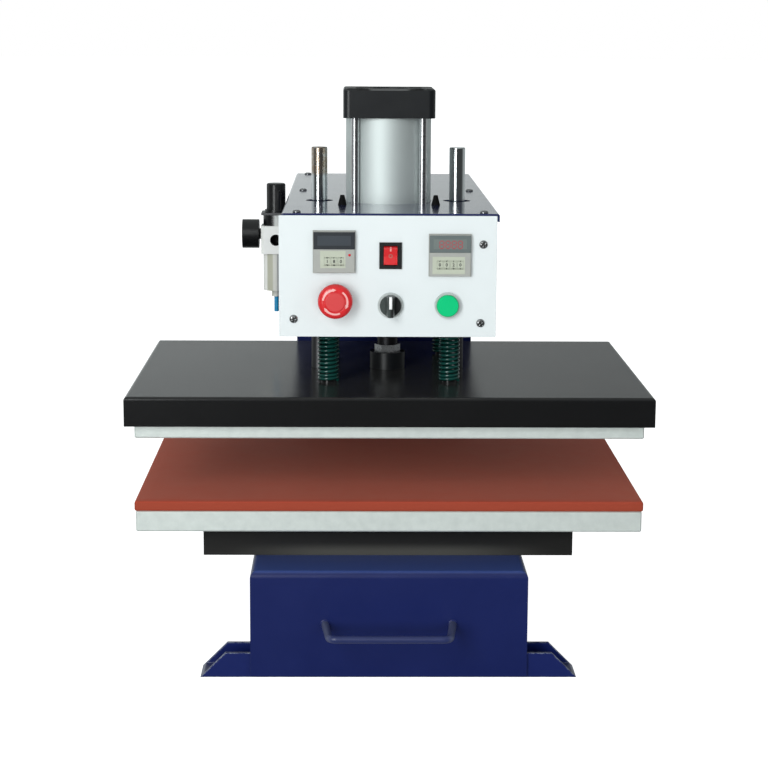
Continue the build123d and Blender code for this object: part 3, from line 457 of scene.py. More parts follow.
# %% Painted finishes
finish("navy_paint", (0.0042, 0.0110, 0.0900), (0.0056, 0.0140, 0.1100), 0.30,
       worn=(0.07, 0.09, 0.20), wear=0.35, dust=0.14, skin=0.0012, bump=0.08)
finish("frame_paint", (0.0042, 0.0110, 0.0900), (0.0056, 0.0140, 0.1100), 0.30, edge=0.0022,
       worn=(0.30, 0.34, 0.40), wear=0.9, dust=0.10, skin=0.0012, bump=0.08)
finish("drawer_paint", (0.0036, 0.0096, 0.0790), (0.0048, 0.0122, 0.0960), 0.30,
       worn=(0.07, 0.09, 0.20), wear=0.35, dust=0.10, skin=0.0012, bump=0.08)
finish("lid_paint", (0.010, 0.016, 0.075), (0.013, 0.020, 0.090), 0.20, worn=(0.10, 0.11, 0.22),
       wear=0.35, dust=0.04, skin=0.0030, bump=0.04, specular=0.8, coat=0.6)
finish("grey_blue_paint", (0.014, 0.022, 0.092), (0.019, 0.028, 0.110), 0.36, cloud=0.02,
       worn=(0.12, 0.14, 0.22), wear=0.5, skin=0.0010, bump=0.08)
finish("black_paint", (0.0048, 0.0048, 0.0052), (0.0066, 0.0066, 0.0070), 0.22, cloud=0.10,
       worn=(0.05, 0.05, 0.055), wear=0.5, dust=0.05, skin=0.0016, bump=0.05,
       sheen={"Sheen Weight": 0.015, "Sheen Roughness": 0.5})
finish("black_frame", (0.008, 0.008, 0.008), (0.014, 0.013, 0.012), 0.5, cloud=0.08,
       worn=(0.09, 0.085, 0.08), wear=0.4, skin=0.0012, bump=0.10, specular=0.35)
finish("white_panel", (0.685, 0.725, 0.735), (0.720, 0.760, 0.770), 0.24, cloud=0.15, contrast=0.8,
       worn=(0.55, 0.60, 0.62), wear=0.15, skin=0.004, bump=0.01)
print("painted", len(finishes))

# %% [markdown]
# ## Bare metal
# The platens are milled aluminium with a pale, slightly mottled face and lines along the cutter's
# way. The barrel is drawn and anodised, so its lines run up and down. The guide rods and tie rods
# are chromed, and the caps are cast and blackened.

# %% Metal finishes
finish("plate_aluminium", (0.60, 0.65, 0.625), (0.72, 0.77, 0.74), 0.48, metallic=0.40, cloud=0.012,
       contrast=1.6, worn=(0.92, 0.94, 0.94), wear=0.4, skin=0.0006, stretch=(0.06, 1.0, 1.0),
       bump=0.10)
finish("barrel_aluminium", (0.70, 0.76, 0.75), (0.76, 0.82, 0.81), 0.62, metallic=0.85, cloud=0.05,
       edge=0.0005, skin=0.0005, stretch=(1.0, 1.0, 0.03), bump=0.06)
finish("machined_steel", (0.40, 0.41, 0.42), (0.50, 0.51, 0.52), 0.32, metallic=1.0, cloud=0.02,
       skin=0.0006, stretch=(0.1, 1.0, 1.0), bump=0.06)
finish("hard_chrome", (0.60, 0.63, 0.64), (0.68, 0.71, 0.72), 0.14, metallic=1.0, cloud=0.03,
       edge=0.0005, skin=0.0020, stretch=(1.0, 1.0, 0.05), bump=0.004)
finish("zinc_screw", (0.46, 0.47, 0.48), (0.62, 0.63, 0.64), 0.28, metallic=1.0, cloud=0.004,
       edge=0.0003, worn=(0.8, 0.8, 0.8), wear=0.5, skin=0.0020, bump=0.008)
finish("dark_screw", (0.28, 0.285, 0.29), (0.38, 0.385, 0.39), 0.24, metallic=1.0, cloud=0.003,
       edge=0.0004, worn=(0.75, 0.75, 0.75), wear=0.6, skin=0.0010, bump=0.02)
finish("zinc_ring", (0.50, 0.54, 0.53), (0.60, 0.64, 0.63), 0.45, metallic=0.45, cloud=0.01,
       edge=0.0004, skin=0.0005, bump=0.03)
finish("bracket_steel", (0.10, 0.10, 0.105), (0.16, 0.16, 0.165), 0.35, metallic=0.9, cloud=0.004,
       edge=0.0003, worn=(0.6, 0.6, 0.6), wear=0.5, skin=0.0005, bump=0.03)
finish("element_steel", (0.16, 0.13, 0.10), (0.30, 0.26, 0.22), 0.45, metallic=0.9, cloud=0.02,
       skin=0.0006, bump=0.05)
finish("cast_black", (0.0046, 0.0056, 0.0070), (0.0076, 0.0088, 0.0106), 0.36, cloud=0.02,
       worn=(0.08, 0.085, 0.09), wear=0.6, dust=0.10, skin=0.0009, bump=0.10, specular=0.45)
finish("spring_green", (0.003, 0.038, 0.032), (0.005, 0.058, 0.048), 0.22, cloud=0.01,
       edge=0.0002, skin=0.0006, bump=0.03, coat=0.3)
print("with the metals", len(finishes))

# %% [markdown]
# ## Plastics, rubber and board
# The controls are moulded: black handles and bezels with a faint grain, a glossy red mushroom and a
# flat green button. The insulation under the cover is a pale fibre board. The pad is a dull
# red-brown silicone sponge with a soft powdery bloom, which a little sheen gives.

# %% Plastic and rubber finishes
finish("black_plastic", (0.0075, 0.0078, 0.0085), (0.0110, 0.0114, 0.0120), 0.32, cloud=0.02,
       worn=(0.05, 0.05, 0.052), wear=0.5, edge=0.0004, skin=0.0004, bump=0.06)
finish("gloss_black", (0.0050, 0.0052, 0.0060), (0.0075, 0.0078, 0.0085), 0.28, cloud=0.02,
       worn=(0.05, 0.05, 0.052), wear=0.4, edge=0.0004, skin=0.0010, bump=0.04)
finish("black_rubber", (0.0035, 0.0035, 0.0035), (0.0060, 0.0060, 0.0060), 0.7, cloud=0.01,
       edge=0.0005, skin=0.0004, bump=0.10, specular=0.10)
finish("grey_plastic", (0.33, 0.335, 0.315), (0.37, 0.375, 0.35), 0.42, cloud=0.02,
       worn=(0.50, 0.50, 0.47), wear=0.3, edge=0.0004, skin=0.0004, bump=0.05)
finish("cream_plastic", (0.42, 0.45, 0.36), (0.47, 0.50, 0.41), 0.45, cloud=0.01,
       edge=0.0003, skin=0.0004, bump=0.04)
finish("white_plastic", (0.87, 0.88, 0.85), (0.92, 0.93, 0.90), 0.40, cloud=0.02,
       worn=(0.94, 0.94, 0.92), wear=0.3, edge=0.0006, skin=0.0005, bump=0.06)
finish("red_plastic", (0.58, 0.014, 0.018), (0.66, 0.020, 0.024), 0.26, cloud=0.02,
       worn=(0.80, 0.20, 0.20), wear=0.4, edge=0.0012, skin=0.0006, bump=0.02, coat=0.3)
finish("green_plastic", (0.000, 0.470, 0.165), (0.002, 0.530, 0.195), 0.40, cloud=0.02,
       edge=0.0005, skin=0.0005, bump=0.02, specular=0.15)
finish("insulation", (0.50, 0.47, 0.40), (0.62, 0.59, 0.52), 0.9, cloud=0.01, contrast=2.0,
       skin=0.0015, bump=0.5, specular=0.2)
finish("blue_tube", (0.010, 0.24, 0.48), (0.015, 0.29, 0.56), 0.30, cloud=0.01, edge=0.0003,
       skin=0.0008, bump=0.02, coat=0.3)
finish("silicone_red", (0.375, 0.052, 0.026), (0.435, 0.064, 0.033), 0.75, cloud=0.10, contrast=1.4,
       edge=0.0012, worn=(0.36, 0.056, 0.028), wear=0.6, dust=0.05, skin=0.0009, bump=0.16,
       specular=0.22, sheen={"Sheen Weight": 0.30, "Sheen Roughness": 0.4,
                             "Sheen Tint": (1.0, 0.46, 0.34, 1.0)})
print("with the plastics", len(finishes))

# %% [markdown]
# ## The clear bowl
# The filter's bowl is moulded clear, and glass keeps plain Metallic and Transmission Weight sockets.
# What is seen through its wall is painted into its colour as light and shade: cream towards the
# light, olive in the middle where the filter stands inside it, and grey at the edge next to the housing.

# %% Clear bowl
BOWL_CREAM = (0.97, 0.97, 0.93, 1.0)
BOWL_PAINTED_LIGHT_AND_SHADE = ((4.5, 6.5, (0.58, 0.58, 0.47, 1.0)), (12.0, 14.0, (0.80, 0.80, 0.74, 1.0)),
               (17.5, 19.5, (0.40, 0.41, 0.41, 1.0)))

clear_bowl, bowl_shader = plain_material("clear_bowl", {
    "Metallic": 0.0, "Roughness": 0.12, "IOR": 1.49, "Transmission Weight": 0.12})
tree = clear_bowl.node_tree
moulded = add_node(tree, "Group", {"Size": 3.0 * MM}, node_tree=fine_skin)
ripple = add_node(tree, "Bump", {"Height": moulded.outputs["Height"], "Strength": 0.05,
                                 "Distance": BUMP_HEIGHT})
tree.links.new(ripple.outputs["Normal"], bowl_shader.inputs["Normal"])
bowl_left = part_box("filter_bowl")[0].x
bowl_axes = own_axes(tree)
# Painted light and shade across the bowl, band by band.
shade = BOWL_CREAM
for start, end, colour in BOWL_PAINTED_LIGHT_AND_SHADE:
    across = fade(tree, bowl_axes["X"], bowl_left + start * MM, bowl_left + end * MM)
    shade = mix_colours(tree, across, shade, colour)
tree.links.new(shade, bowl_shader.inputs["Base Color"])
finishes["clear_bowl"] = clear_bowl
print("bowl shades", 1 + len(BOWL_PAINTED_LIGHT_AND_SHADE))

# %% [markdown]
# ## Dressing the solids
# The record names a material slot for each node, so one loop dresses every solid. A few nodes then
# get a variant of their slot's finish: the same stuff with other wear or another gloss.

# %% Dress the nodes
slot_of = {part["node"]: part["material_slot"] for part in frame["record"]["subparts"]}
variant = {"top_plate": "lid_paint", "base_frame": "frame_paint", "regulator_knob": "gloss_black",
           "pressure_gauge": "gloss_black", "regulator_bracket": "bracket_steel"}
for name, solid in frame["nodes"].items():
    solid.data.materials.clear()
    solid.data.materials.append(finishes[variant.get(name, slot_of[name])])
print("dressed", len(slot_of), "variants", len(variant))

# %% [markdown]
# ## Marks and painted light that have a place of their own
# The left guide rod has browned above the last stroke. The rest is painted light and shade: a rougher
# middle on the stop button with a painted reflection, painted shade on the rods below the head, a
# painted shadow along the top of the carriage frame and a painted reflection low on it, a painted
# reflection on the top of the drawer and painted shade on the pad's upright sides. The handle's legs,
# the cylinder's cap, the selector knob and the bonnet get painted highlights, and the cap painted
# shade in its recesses. Each is a copy of the piece's finish with one more mix, steered by a height,
# a distance or a slope. These solids sit at the origin, so their own coordinates are metres from the
# middle of the bench.

# %% Masks by place
def along(axis, start, end, *middles):
    """A mask from start to end on an axis. With middles, the distance from each is taken in turn."""
    def mask(tree, axes):
        value = axes[axis]
        for middle in middles:
            value = distance(tree, value, middle)
        return fade(tree, value, start, end)
    return mask


def facing_up(start, end):
    """A mask that grows as a face turns up."""
    def mask(tree, axes):
        return fade(tree, slope(tree), start, end)
    return mask


def both(first, second):
    """A mask where two masks meet."""
    def mask(tree, axes):
        return calculate(tree, "MULTIPLY", first(tree, axes), second(tree, axes))
    return mask


def marked(name, base, *marks):
    """A copy of a finish with marks: each has a colour, a roughness and a mask to make."""
    material = finishes[base].copy()
    material.name = name
    tree = material.node_tree
    shader = tree.nodes["Principled BSDF"]
    axes = own_axes(tree)
    for colour, roughness, make_mask in marks:
        mask = make_mask(tree, axes)
        for socket, value in (("Base Color", (*colour, 1.0)), ("Roughness", (roughness,) * 3 + (1.0,))):
            before = shader.inputs[socket].links[0].from_socket
            tree.links.new(mix_colours(tree, mask, before, value), shader.inputs[socket])
    return material


print("masks", along.__name__, facing_up.__name__, both.__name__)

# %% [markdown]
# ### Where the marks lie
# The places are measured from the solids' boxes, so a mark stays on its feature when a size changes.
# Most masks are bands along an axis; only the round patch of the stop button needs a true radius.

# %% Masks of the press
stop_centre = centre_of("emergency_stop_head")
head_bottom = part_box("control_panel")[0].z
rod_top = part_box("left_guide_rod")[1].z
carriage_low, carriage_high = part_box("carriage_frame")
cap_x = centre_of("cylinder_rear_cap").x
knob_x = centre_of("selector_knob").x
regulator_x = centre_of("regulator_bonnet").x
bracket_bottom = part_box("regulator_bracket")[0].z


def palm_mark(tree, axes):
    """A round patch in the middle of the stop button: rougher, with a painted reflection that pales its
    red.
    """
    flat = add_node(tree, "CombineXYZ", {"X": distance(tree, axes["X"], stop_centre.x),
                                         "Y": distance(tree, axes["Z"], stop_centre.z)})
    away = add_node(tree, "VectorMath", {0: flat.outputs[0]}, operation="LENGTH").outputs["Value"]
    return fade(tree, away, 11.8 * MM, 9.4 * MM)


def spots(tree, axes):
    """Uneven patches a few millimetres wide."""
    return fade(tree, noise(tree, 6.25 * MM, 3.0), 0.15, 0.60)


browned_top = both(along("Z", rod_top - 37 * MM, rod_top - 31 * MM), spots)
# Painted shade: below the head the guide rods and the piston rod are painted dark, where the head shades
# them.
painted_shade_below_head = along("Z", head_bottom + 12 * MM, head_bottom + 2 * MM)
# Painted highlight: the handle's legs are painted lighter than its bar.
painted_highlight_handle_legs = along("X", 66 * MM, 74 * MM, 0.0)
# Painted shadow along the top of the carriage frame under the platen, and a painted reflection of the
# navy box low on its middle.
painted_shadow_frame_top = along("Z", carriage_low.z + 14 * MM, carriage_high.z - 4 * MM)
painted_reflection_frame_low = both(along("Z", carriage_low.z + 17 * MM, carriage_low.z + 4 * MM),
                      along("X", 215 * MM, 60 * MM, 0.0))
# Painted reflection: the drawer's upward faces are painted a lighter blue.
painted_reflection_drawer_top = facing_up(0.60, 0.97)
# Painted highlight on the upward faces of the cap's middle, and painted shade in its recesses.
painted_highlight_cap_middle = both(facing_up(0.3, 0.7), along("X", 26 * MM, 20 * MM, cap_x))
painted_shade_cap_recess = both(facing_up(0.3, 0.7), along("X", 9 * MM, 6 * MM, cap_x, 33 * MM))
# Painted shade: the pad's upright sides are painted darker than its top.
painted_shade_pad_sides = facing_up(0.7, 0.3)
# Painted highlight: the selector knob's left half is painted lighter, on the side towards the lamp.
painted_highlight_knob_left = along("X", knob_x + 1.5 * MM, knob_x - 1.5 * MM)
# Painted highlight: a pale patch on the bonnet's lower right, below the bracket.
painted_highlight_bonnet_low = both(along("X", regulator_x - 4 * MM, regulator_x),
              along("Z", bracket_bottom + 1 * MM, bracket_bottom - 1 * MM))
print("head's bottom at", round(head_bottom, 4), "rods' top at", round(rod_top, 4))

# %% [markdown]
# ### Finishes with marks
# Painted shade below the head darkens two rods alike, so it is written once. The other marks belong
# to one piece each. The three numbers of a mark are its linear colour, and the one after is its
# roughness.

# %% Marked finishes
# Painted shade on the rods' chrome below the head.
PAINTED_SHADE_ON_RODS = ((0.10, 0.10, 0.105), 0.45, painted_shade_below_head)
marks = {
    "emergency_stop_head": ("red_plastic", ((0.60, 0.036, 0.038), 0.45, palm_mark)),
    "left_guide_rod": ("hard_chrome", ((0.42, 0.34, 0.27), 0.30, browned_top), PAINTED_SHADE_ON_RODS),
    "right_guide_rod": ("hard_chrome", PAINTED_SHADE_ON_RODS),
    "piston_rod": ("hard_chrome", ((0.06, 0.06, 0.065), 0.50, painted_shade_below_head)),
    "pull_handle": ("grey_blue_paint", ((0.065, 0.076, 0.145), 0.45, painted_highlight_handle_legs)),
    "carriage_frame": ("black_frame", ((0.0025, 0.0026, 0.0025), 0.40, painted_shadow_frame_top),
                       ((0.066, 0.064, 0.056), 0.60, painted_reflection_frame_low)),
    "drawer_box": ("drawer_paint", ((0.039, 0.071, 0.254), 0.35, painted_reflection_drawer_top)),
    "cylinder_rear_cap": ("cast_black", ((0.10, 0.102, 0.102), 0.55, painted_highlight_cap_middle),
                          ((0.002, 0.002, 0.002), 0.60, painted_shade_cap_recess)),
    "selector_knob": ("black_plastic", ((0.040, 0.052, 0.049), 0.40, painted_highlight_knob_left)),
    "regulator_bonnet": ("gloss_black", ((0.62, 0.64, 0.62), 0.40, painted_highlight_bonnet_low))}
for name, (base, *list_of_marks) in marks.items():
    frame["nodes"][name].data.materials[0] = marked(f"{name}_finish", base, *list_of_marks)
print("marked", len(marks))

# %% [markdown]
# ## Return springs
# Four tension springs pull the head back up. In the frame each is a plain ribbed sleeve, enough for
# weight and collision. The real thing is a green coil of round wire with closed ends hooked over a
# stud below and above. A Screw modifier would give one even pitch; a curve through points worked
# out from a formula lets the pitch close up at both ends.

# %% Coils
WIRE = 4.0 * MM
SPRING_RADIUS = 13.0 * MM
CLOSED_TURNS = 2.0
CLOSED_HEIGHT = CLOSED_TURNS * WIRE * 1.02
OPEN_TURNS = 21.0
STEPS = 20

spring_low, spring_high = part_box("return_springs")
coil_radius = SPRING_RADIUS - WIRE / 2
coil_bottom = spring_low.z + WIRE / 2
coil_top = spring_high.z - WIRE / 2


def coil_height(turn):
    """Height of the wire after so many turns, closed at both ends."""
    between = coil_top - coil_bottom - 2 * CLOSED_HEIGHT
    if turn <= CLOSED_TURNS:
        return coil_bottom + CLOSED_HEIGHT * turn / CLOSED_TURNS
    if turn >= CLOSED_TURNS + OPEN_TURNS:
        return coil_top - CLOSED_HEIGHT * (2 * CLOSED_TURNS + OPEN_TURNS - turn) / CLOSED_TURNS
    return coil_bottom + CLOSED_HEIGHT + between * (turn - CLOSED_TURNS) / OPEN_TURNS


def coil(x, y):
    """Points along one coil."""
    points = []
    for number in range(int((2 * CLOSED_TURNS + OPEN_TURNS) * STEPS) + 1):
        turn = number / STEPS
        angle = 2 * math.pi * turn
        points.append((x + coil_radius * math.cos(angle), y + coil_radius * math.sin(angle),
                       coil_height(turn)))
    return points


spring_x = spring_high.x - SPRING_RADIUS
rows = (spring_low.y + SPRING_RADIUS, spring_high.y - SPRING_RADIUS)
for number, (x, y) in enumerate([(x, y) for y in rows for x in (-spring_x, spring_x)], 1):
    name = f"return_spring_{number}"
    spring = show(name, tube_mesh(name, coil(x, y), WIRE / 2))
    spring.data.materials.append(finishes["spring_green"])
    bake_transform(spring)
    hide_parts("return_springs")
print("springs", number, "turns", 2 * CLOSED_TURNS + OPEN_TURNS)

# %% [markdown]
# ## Silicone pad
# The pad lies loose on the lower platen and hangs over it by a hair. It is flat where it rests, its
# edge is rounded by the mould, and its top is never quite level, so the grid gets a shallow swell
# that fades out before the edge.

# %% Pad
PAD_EDGE = 2.5 * MM
PAD_CELLS = (36, 24)
PAD_SWELL = 0.35 * MM

pad_low, pad_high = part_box("silicone_pad")
pad_centre, pad_size = centre_of("silicone_pad"), pad_high - pad_low
made = bmesh.new()
add_block(made, pad_low, pad_high)
bmesh.ops.bevel(made, geom=made.edges[:], offset=PAD_EDGE, segments=3, profile=0.5, affect="EDGES")
for axis, cells in enumerate(PAD_CELLS):
    normal = Vector((0.0, 0.0, 0.0))
    normal[axis] = 1.0
    for step in range(1, cells):
        place = Vector(pad_low)
        place[axis] += pad_size[axis] * step / cells
        bmesh.ops.bisect_plane(made, geom=made.verts[:] + made.edges[:] + made.faces[:],
                               plane_co=place, plane_no=normal)
for vertex in made.verts:
    if vertex.co.z > pad_high.z - 1e-6:
        u = 2 * (vertex.co.x - pad_centre.x) / pad_size.x
        v = 2 * (vertex.co.y - pad_centre.y) / pad_size.y
        wave = math.sin(7.0 * u + 1.3) * math.cos(5.0 * v - 0.4)
        vertex.co.z -= PAD_SWELL * (1 - u ** 4) * (1 - v ** 4) * (0.5 + 0.5 * wave)
# The pad's upright sides carry painted shade.
pad_finish = marked("silicone_mat_finish", "silicone_red",
                    ((0.30, 0.047, 0.023), 0.75, painted_shade_pad_sides))
pad = add_piece("silicone_mat", made, pad_finish, "drawer")
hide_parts("silicone_pad")
print("pad faces", len(pad.data.polygons))

# %% [markdown]
# ## Screws with a cross recess
# Nine pan-head screws hold the top plate and the panel. The solids have plain heads, and the cross
# is what makes a screw read as one. One head is turned from a profile, the cross is cut with a
# Boolean modifier, and the nine copies share the mesh, each turned to where a hand left it.

# %% Screw head
HEAD_RADIUS = 5.0 * MM
HEAD_HEIGHT = 2.5 * MM
HEAD_SHAPE = ((0.0, 1.0), (0.45, 0.98), (0.78, 0.80), (0.95, 0.50), (1.0, 0.22), (1.0, 0.0), (0.0, 0.0))
CROSS_LENGTH = 6.6 * MM
CROSS_WIDTH = 1.6 * MM
CROSS_DEPTH = 1.5 * MM

made = bmesh.new()
add_turned(made, [(HEAD_RADIUS * r, HEAD_HEIGHT * h) for r, h in HEAD_SHAPE], 32)
head = show("screw_blank", mesh_from("screw_blank", made))
made = bmesh.new()
for x, y in ((CROSS_LENGTH / 2, CROSS_WIDTH / 2), (CROSS_WIDTH / 2, CROSS_LENGTH / 2)):
    add_block(made, (-x, -y, HEAD_HEIGHT - CROSS_DEPTH), (x, y, HEAD_HEIGHT * 2))
cutter = show("cross_cutter", mesh_from("cross_cutter", made, smooth=False))
cut = head.modifiers.new("cross", "BOOLEAN")
cut.object = cutter
cut.operation = "DIFFERENCE"
cut.solver = "EXACT"
cut.use_self = True
bpy.context.view_layer.update()
screw_mesh = bpy.data.meshes.new_from_object(head.evaluated_get(bpy.context.evaluated_depsgraph_get()))
for blank in (head, cutter):
    bpy.data.objects.remove(blank)
screw_mesh.name = "cross_screw"
screw_mesh.materials.clear()
screw_mesh.materials.append(finishes["dark_screw"])
print("screw faces", len(screw_mesh.polygons))

# %% [markdown]
# ### Nine copies
# Objects that share one mesh stay small in the file and alike in shape. Six screws stand on the lid,
# mirrored left and right, and three hold the panel.

# %% Screws in place
TOP_SCREW_INSET = 17.8 * MM
TOP_SCREW_FRONT = 14.0 * MM
TOP_SCREW_BACK = 17.0 * MM
MIDDLE_ROW = 54.25 * MM
PANEL_SCREWS = ((109.0, 109.6, 0.9), (-113.5, 21.0, 0.3), (106.6, 16.7, 0.7))

plate_low, plate_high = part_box("top_plate")
panel_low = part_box("control_panel")[0]
rows = (plate_low.y + TOP_SCREW_FRONT, MIDDLE_ROW, plate_high.y - TOP_SCREW_BACK)
places = []
for side in (-1, 1):
    for row, y in enumerate(rows):
        spot = Matrix.Translation((side * (plate_high.x - TOP_SCREW_INSET), y, plate_high.z))
        places.append(spot @ Matrix.Rotation(0.5 * row + 0.8 * side, 4, "Z"))
for x, height, angle in PANEL_SCREWS:
    spot = Matrix.Translation((x * MM, panel_low.y, panel_low.z + height * MM))
    places.append(spot @ UPRIGHT @ Matrix.Rotation(angle, 4, "Z"))
for number, place in enumerate(places, 1):
    screw = show(f"cross_screw_{number}", screw_mesh)
    screw.matrix_world = place
    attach(screw, "base")
    if number == 1:
        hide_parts("housing_screws")
print("screws", len(places))

# %% [markdown]
# ## Digit wheels
# The thermostat has three thumbwheels and the timer four, each a ten-sided drum with a digit on
# every flat. A picture would do for one view only; real digits on the drum turn with it and come
# round as they should.

# %% Wheel digits
DRUM_RADIUS = 9.0 * MM
DRUM_SIDES = 10
FLAT = DRUM_RADIUS * math.cos(math.pi / DRUM_SIDES)
DIGIT_LIFT = 0.03 * MM
DIGIT_SIZE = 5.2 * MM
DIGIT_BOLD = 0.16 * MM
set_values = {"thermostat_wheel_1": 1, "thermostat_wheel_2": 8, "thermostat_wheel_3": 0,
              "timer_wheel_1": 0, "timer_wheel_2": 0, "timer_wheel_3": 2, "timer_wheel_4": 0}

ink = finish("digit_ink", (0.02, 0.02, 0.02), (0.03, 0.03, 0.03), 0.5, cloud=0.01, skin=0.0004,
             edge=0.0001, bump=0.02)
digits = [text_mesh(f"digit_{value}", str(value), DIGIT_SIZE, DIGIT_BOLD) for value in range(DRUM_SIDES)]


def drum_digits(wheel, set_value):
    """All ten digits round one drum, with its set value in front."""
    made = bmesh.new()
    for value, mesh in enumerate(digits):
        turn = Matrix.Rotation(2 * math.pi / DRUM_SIDES * (value - set_value), 4, "X")
        out = Matrix.Translation((0, -FLAT - DIGIT_LIFT, 0))
        add_mesh(made, mesh, Matrix.Translation(centre_of(wheel)) @ turn @ out @ UPRIGHT)
    mesh = bpy.data.meshes.new(f"{wheel}_digits")
    made.to_mesh(mesh)
    made.free()
    return mesh


for wheel, set_value in set_values.items():
    add_piece(f"{wheel}_digits", drum_digits(wheel, set_value), ink, wheel)
print("wheels with digits", len(set_values))

# %% [markdown]
# ## Displays
# Each unit has a lens plate that laps over its window pocket, with a darker border printed round
# the clear field, and a pale plate round its thumbwheels. The thermostat's lens is blank and dark;
# the timer's is grey with red figures behind it. The plates are a few tenths of a millimetre
# thick: too thin for the solids, but their edges draw the lines that make a unit look real.

# %% Lens plates
WINDOW = (46.4 * MM, 19.2 * MM)
WINDOW_DROP = 1.0 * MM
UNIT_FRONT = 48.0 * MM
LENS_LAP = (1.0 * MM, 0.5 * MM)
LENS_PROUD = 0.35 * MM
LENS_EDGE = 0.3 * MM
SEAT = 0.02 * MM
FIELD = (39.0 * MM, 11.6 * MM)
FIELD_PROUD = 0.05 * MM

lens_finishes = {
    "thermostat": (finish("smoked_lens", (0.038, 0.046, 0.056), (0.046, 0.055, 0.066), 0.30,
                          cloud=0.03, edge=0.0003, skin=0.002, bump=0.01),
                   finish("smoked_border", (0.018, 0.021, 0.026), (0.024, 0.028, 0.033), 0.35,
                          cloud=0.02, edge=0.0003, skin=0.002, bump=0.01)),
    "timer": (finish("grey_lens", (0.125, 0.150, 0.145), (0.155, 0.185, 0.175), 0.30,
                     cloud=0.03, edge=0.0003, skin=0.002, bump=0.01),
              finish("grey_border", (0.105, 0.130, 0.130), (0.125, 0.150, 0.148), 0.35,
                     cloud=0.02, edge=0.0003, skin=0.002, bump=0.01))}


def window_middle(unit):
    """The middle of a unit's window pocket, at the unit's front face."""
    centre = centre_of(unit)
    height = centre.z + UNIT_FRONT / 2 - WINDOW_DROP - WINDOW[1] / 2
    return Vector((centre.x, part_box(unit)[0].y, height))


def front_plate(middle, width, height, front, back, edge=0.0, steps=2):
    """A plate that faces the front, from so far in front of its middle to so far behind."""
    made = bmesh.new()
    add_block(made, middle - Vector((width / 2, front, height / 2)),
              middle + Vector((width / 2, back, height / 2)), edge, steps)
    return made


for unit, (lens, border) in lens_finishes.items():
    middle = window_middle(unit)
    add_piece(f"{unit}_lens_border",
              front_plate(middle, WINDOW[0] + 2 * LENS_LAP[0], WINDOW[1] + 2 * LENS_LAP[1],
                          LENS_PROUD, -SEAT, edge=LENS_EDGE),
              border, "base", smooth=False)
    add_piece(f"{unit}_lens_field",
              front_plate(middle, *FIELD, LENS_PROUD + FIELD_PROUD, FIELD_PROUD - LENS_PROUD),
              lens, "base", smooth=False)
print("lens plates", 2 * len(lens_finishes))

# %% [markdown]
# ### Plates round the wheels
# The thumbwheels look out through slots in a thin moulded plate. A Boolean could cut the slots, but
# strips above, below and between them give the same plate with clean edges.

# %% Plates round the wheels
WHEEL_PITCH = 8.0 * MM
SLOT = (6.9 * MM, 10.4 * MM)
PLATE_PROUD = 0.3 * MM
PLATES = {"thermostat": (3, -16.3, 13.4, -18.7, 1.6), "timer": (4, -20.6, 17.4, -21.6, -1.4)}


def wheel_plate(unit):
    """A thin plate with one slot for each thumbwheel, as strips between the slots."""
    count, left, right, bottom, top = PLATES[unit]
    centre = centre_of(unit)
    slot_z = centre_of(f"{unit}_wheel_1").z
    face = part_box(unit)[0].y
    back, front = face - SEAT, face - PLATE_PROUD
    left, right = centre.x + left * MM, centre.x + right * MM
    bottom, top = centre.z + bottom * MM, centre.z + top * MM
    low_slot, high_slot = slot_z - SLOT[1] / 2, slot_z + SLOT[1] / 2
    cuts = [centre.x + (n - (count - 1) / 2) * WHEEL_PITCH for n in range(count)]
    edges = [left] + [c + side * SLOT[0] / 2 for c in cuts for side in (-1, 1)] + [right]
    made = bmesh.new()
    add_block(made, (left, front, high_slot), (right, back, top))
    add_block(made, (left, front, bottom), (right, back, low_slot))
    for start, end in zip(edges[::2], edges[1::2]):
        add_block(made, (start, front, low_slot), (end, back, high_slot))
    return made


for unit in PLATES:
    add_piece(f"{unit}_wheel_plate", wheel_plate(unit), finishes["cream_plastic"], "base",
              smooth=False)
print("wheel plates", len(PLATES))

# %% [markdown]
# ### The heating lamp
# Beside the thermostat's wheels a small red lamp shows that the plate is heating. It is a low dome,
# so four points turned round an axis are enough.

# %% Thermostat's lamp
LAMP_ASIDE = 18.0 * MM
LAMP_DROP = 3.4 * MM
LAMP_SHAPE = ((0.0, 0.9), (0.9, 0.75), (1.5, 0.3), (1.6, 0.0))

unit_centre = centre_of("thermostat")
lamp_spot = (unit_centre.x + LAMP_ASIDE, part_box("thermostat")[0].y, unit_centre.z - LAMP_DROP)
made = bmesh.new()
add_turned(made, [(r * MM, h * MM) for r, h in LAMP_SHAPE], 20, Matrix.Translation(lamp_spot) @ UPRIGHT)
add_piece("thermostat_lamp", made, finishes["red_plastic"], "base")
print("lamp at", tuple(round(v, 4) for v in lamp_spot))

# %% [markdown]
# ### Lit figures
# The timer shows red figures of seven bars each. A bar is one flat face with pointed ends, a tenth
# of a millimetre in front of its lens, and a faint emission makes it look lit from within.

# %% Lit figures
FIGURE = (4.8 * MM, 8.6 * MM)
BAR = 1.4 * MM
BAR_GAP = 0.15
FIGURE_PITCH = 7.2 * MM
FIGURES = 4
FIRST_FIGURE = -1.38
FIGURE_DROP = 0.6 * MM
FIGURE_PROUD = 0.1 * MM

glow, glow_shader = plain_material("red_figures", {"Roughness": 0.4, "Emission Strength": 0.06})
tree = glow.node_tree
uneven = add_node(tree, "Group", {"Size": 4.0 * MM}, node_tree=cloudy_variation).outputs["Mask"]
lit = mix_colours(tree, uneven, (0.26, 0.060, 0.070, 1.0), (0.34, 0.075, 0.080, 1.0))
for label in ("Base Color", "Emission Color"):
    tree.links.new(lit, glow_shader.inputs[label])


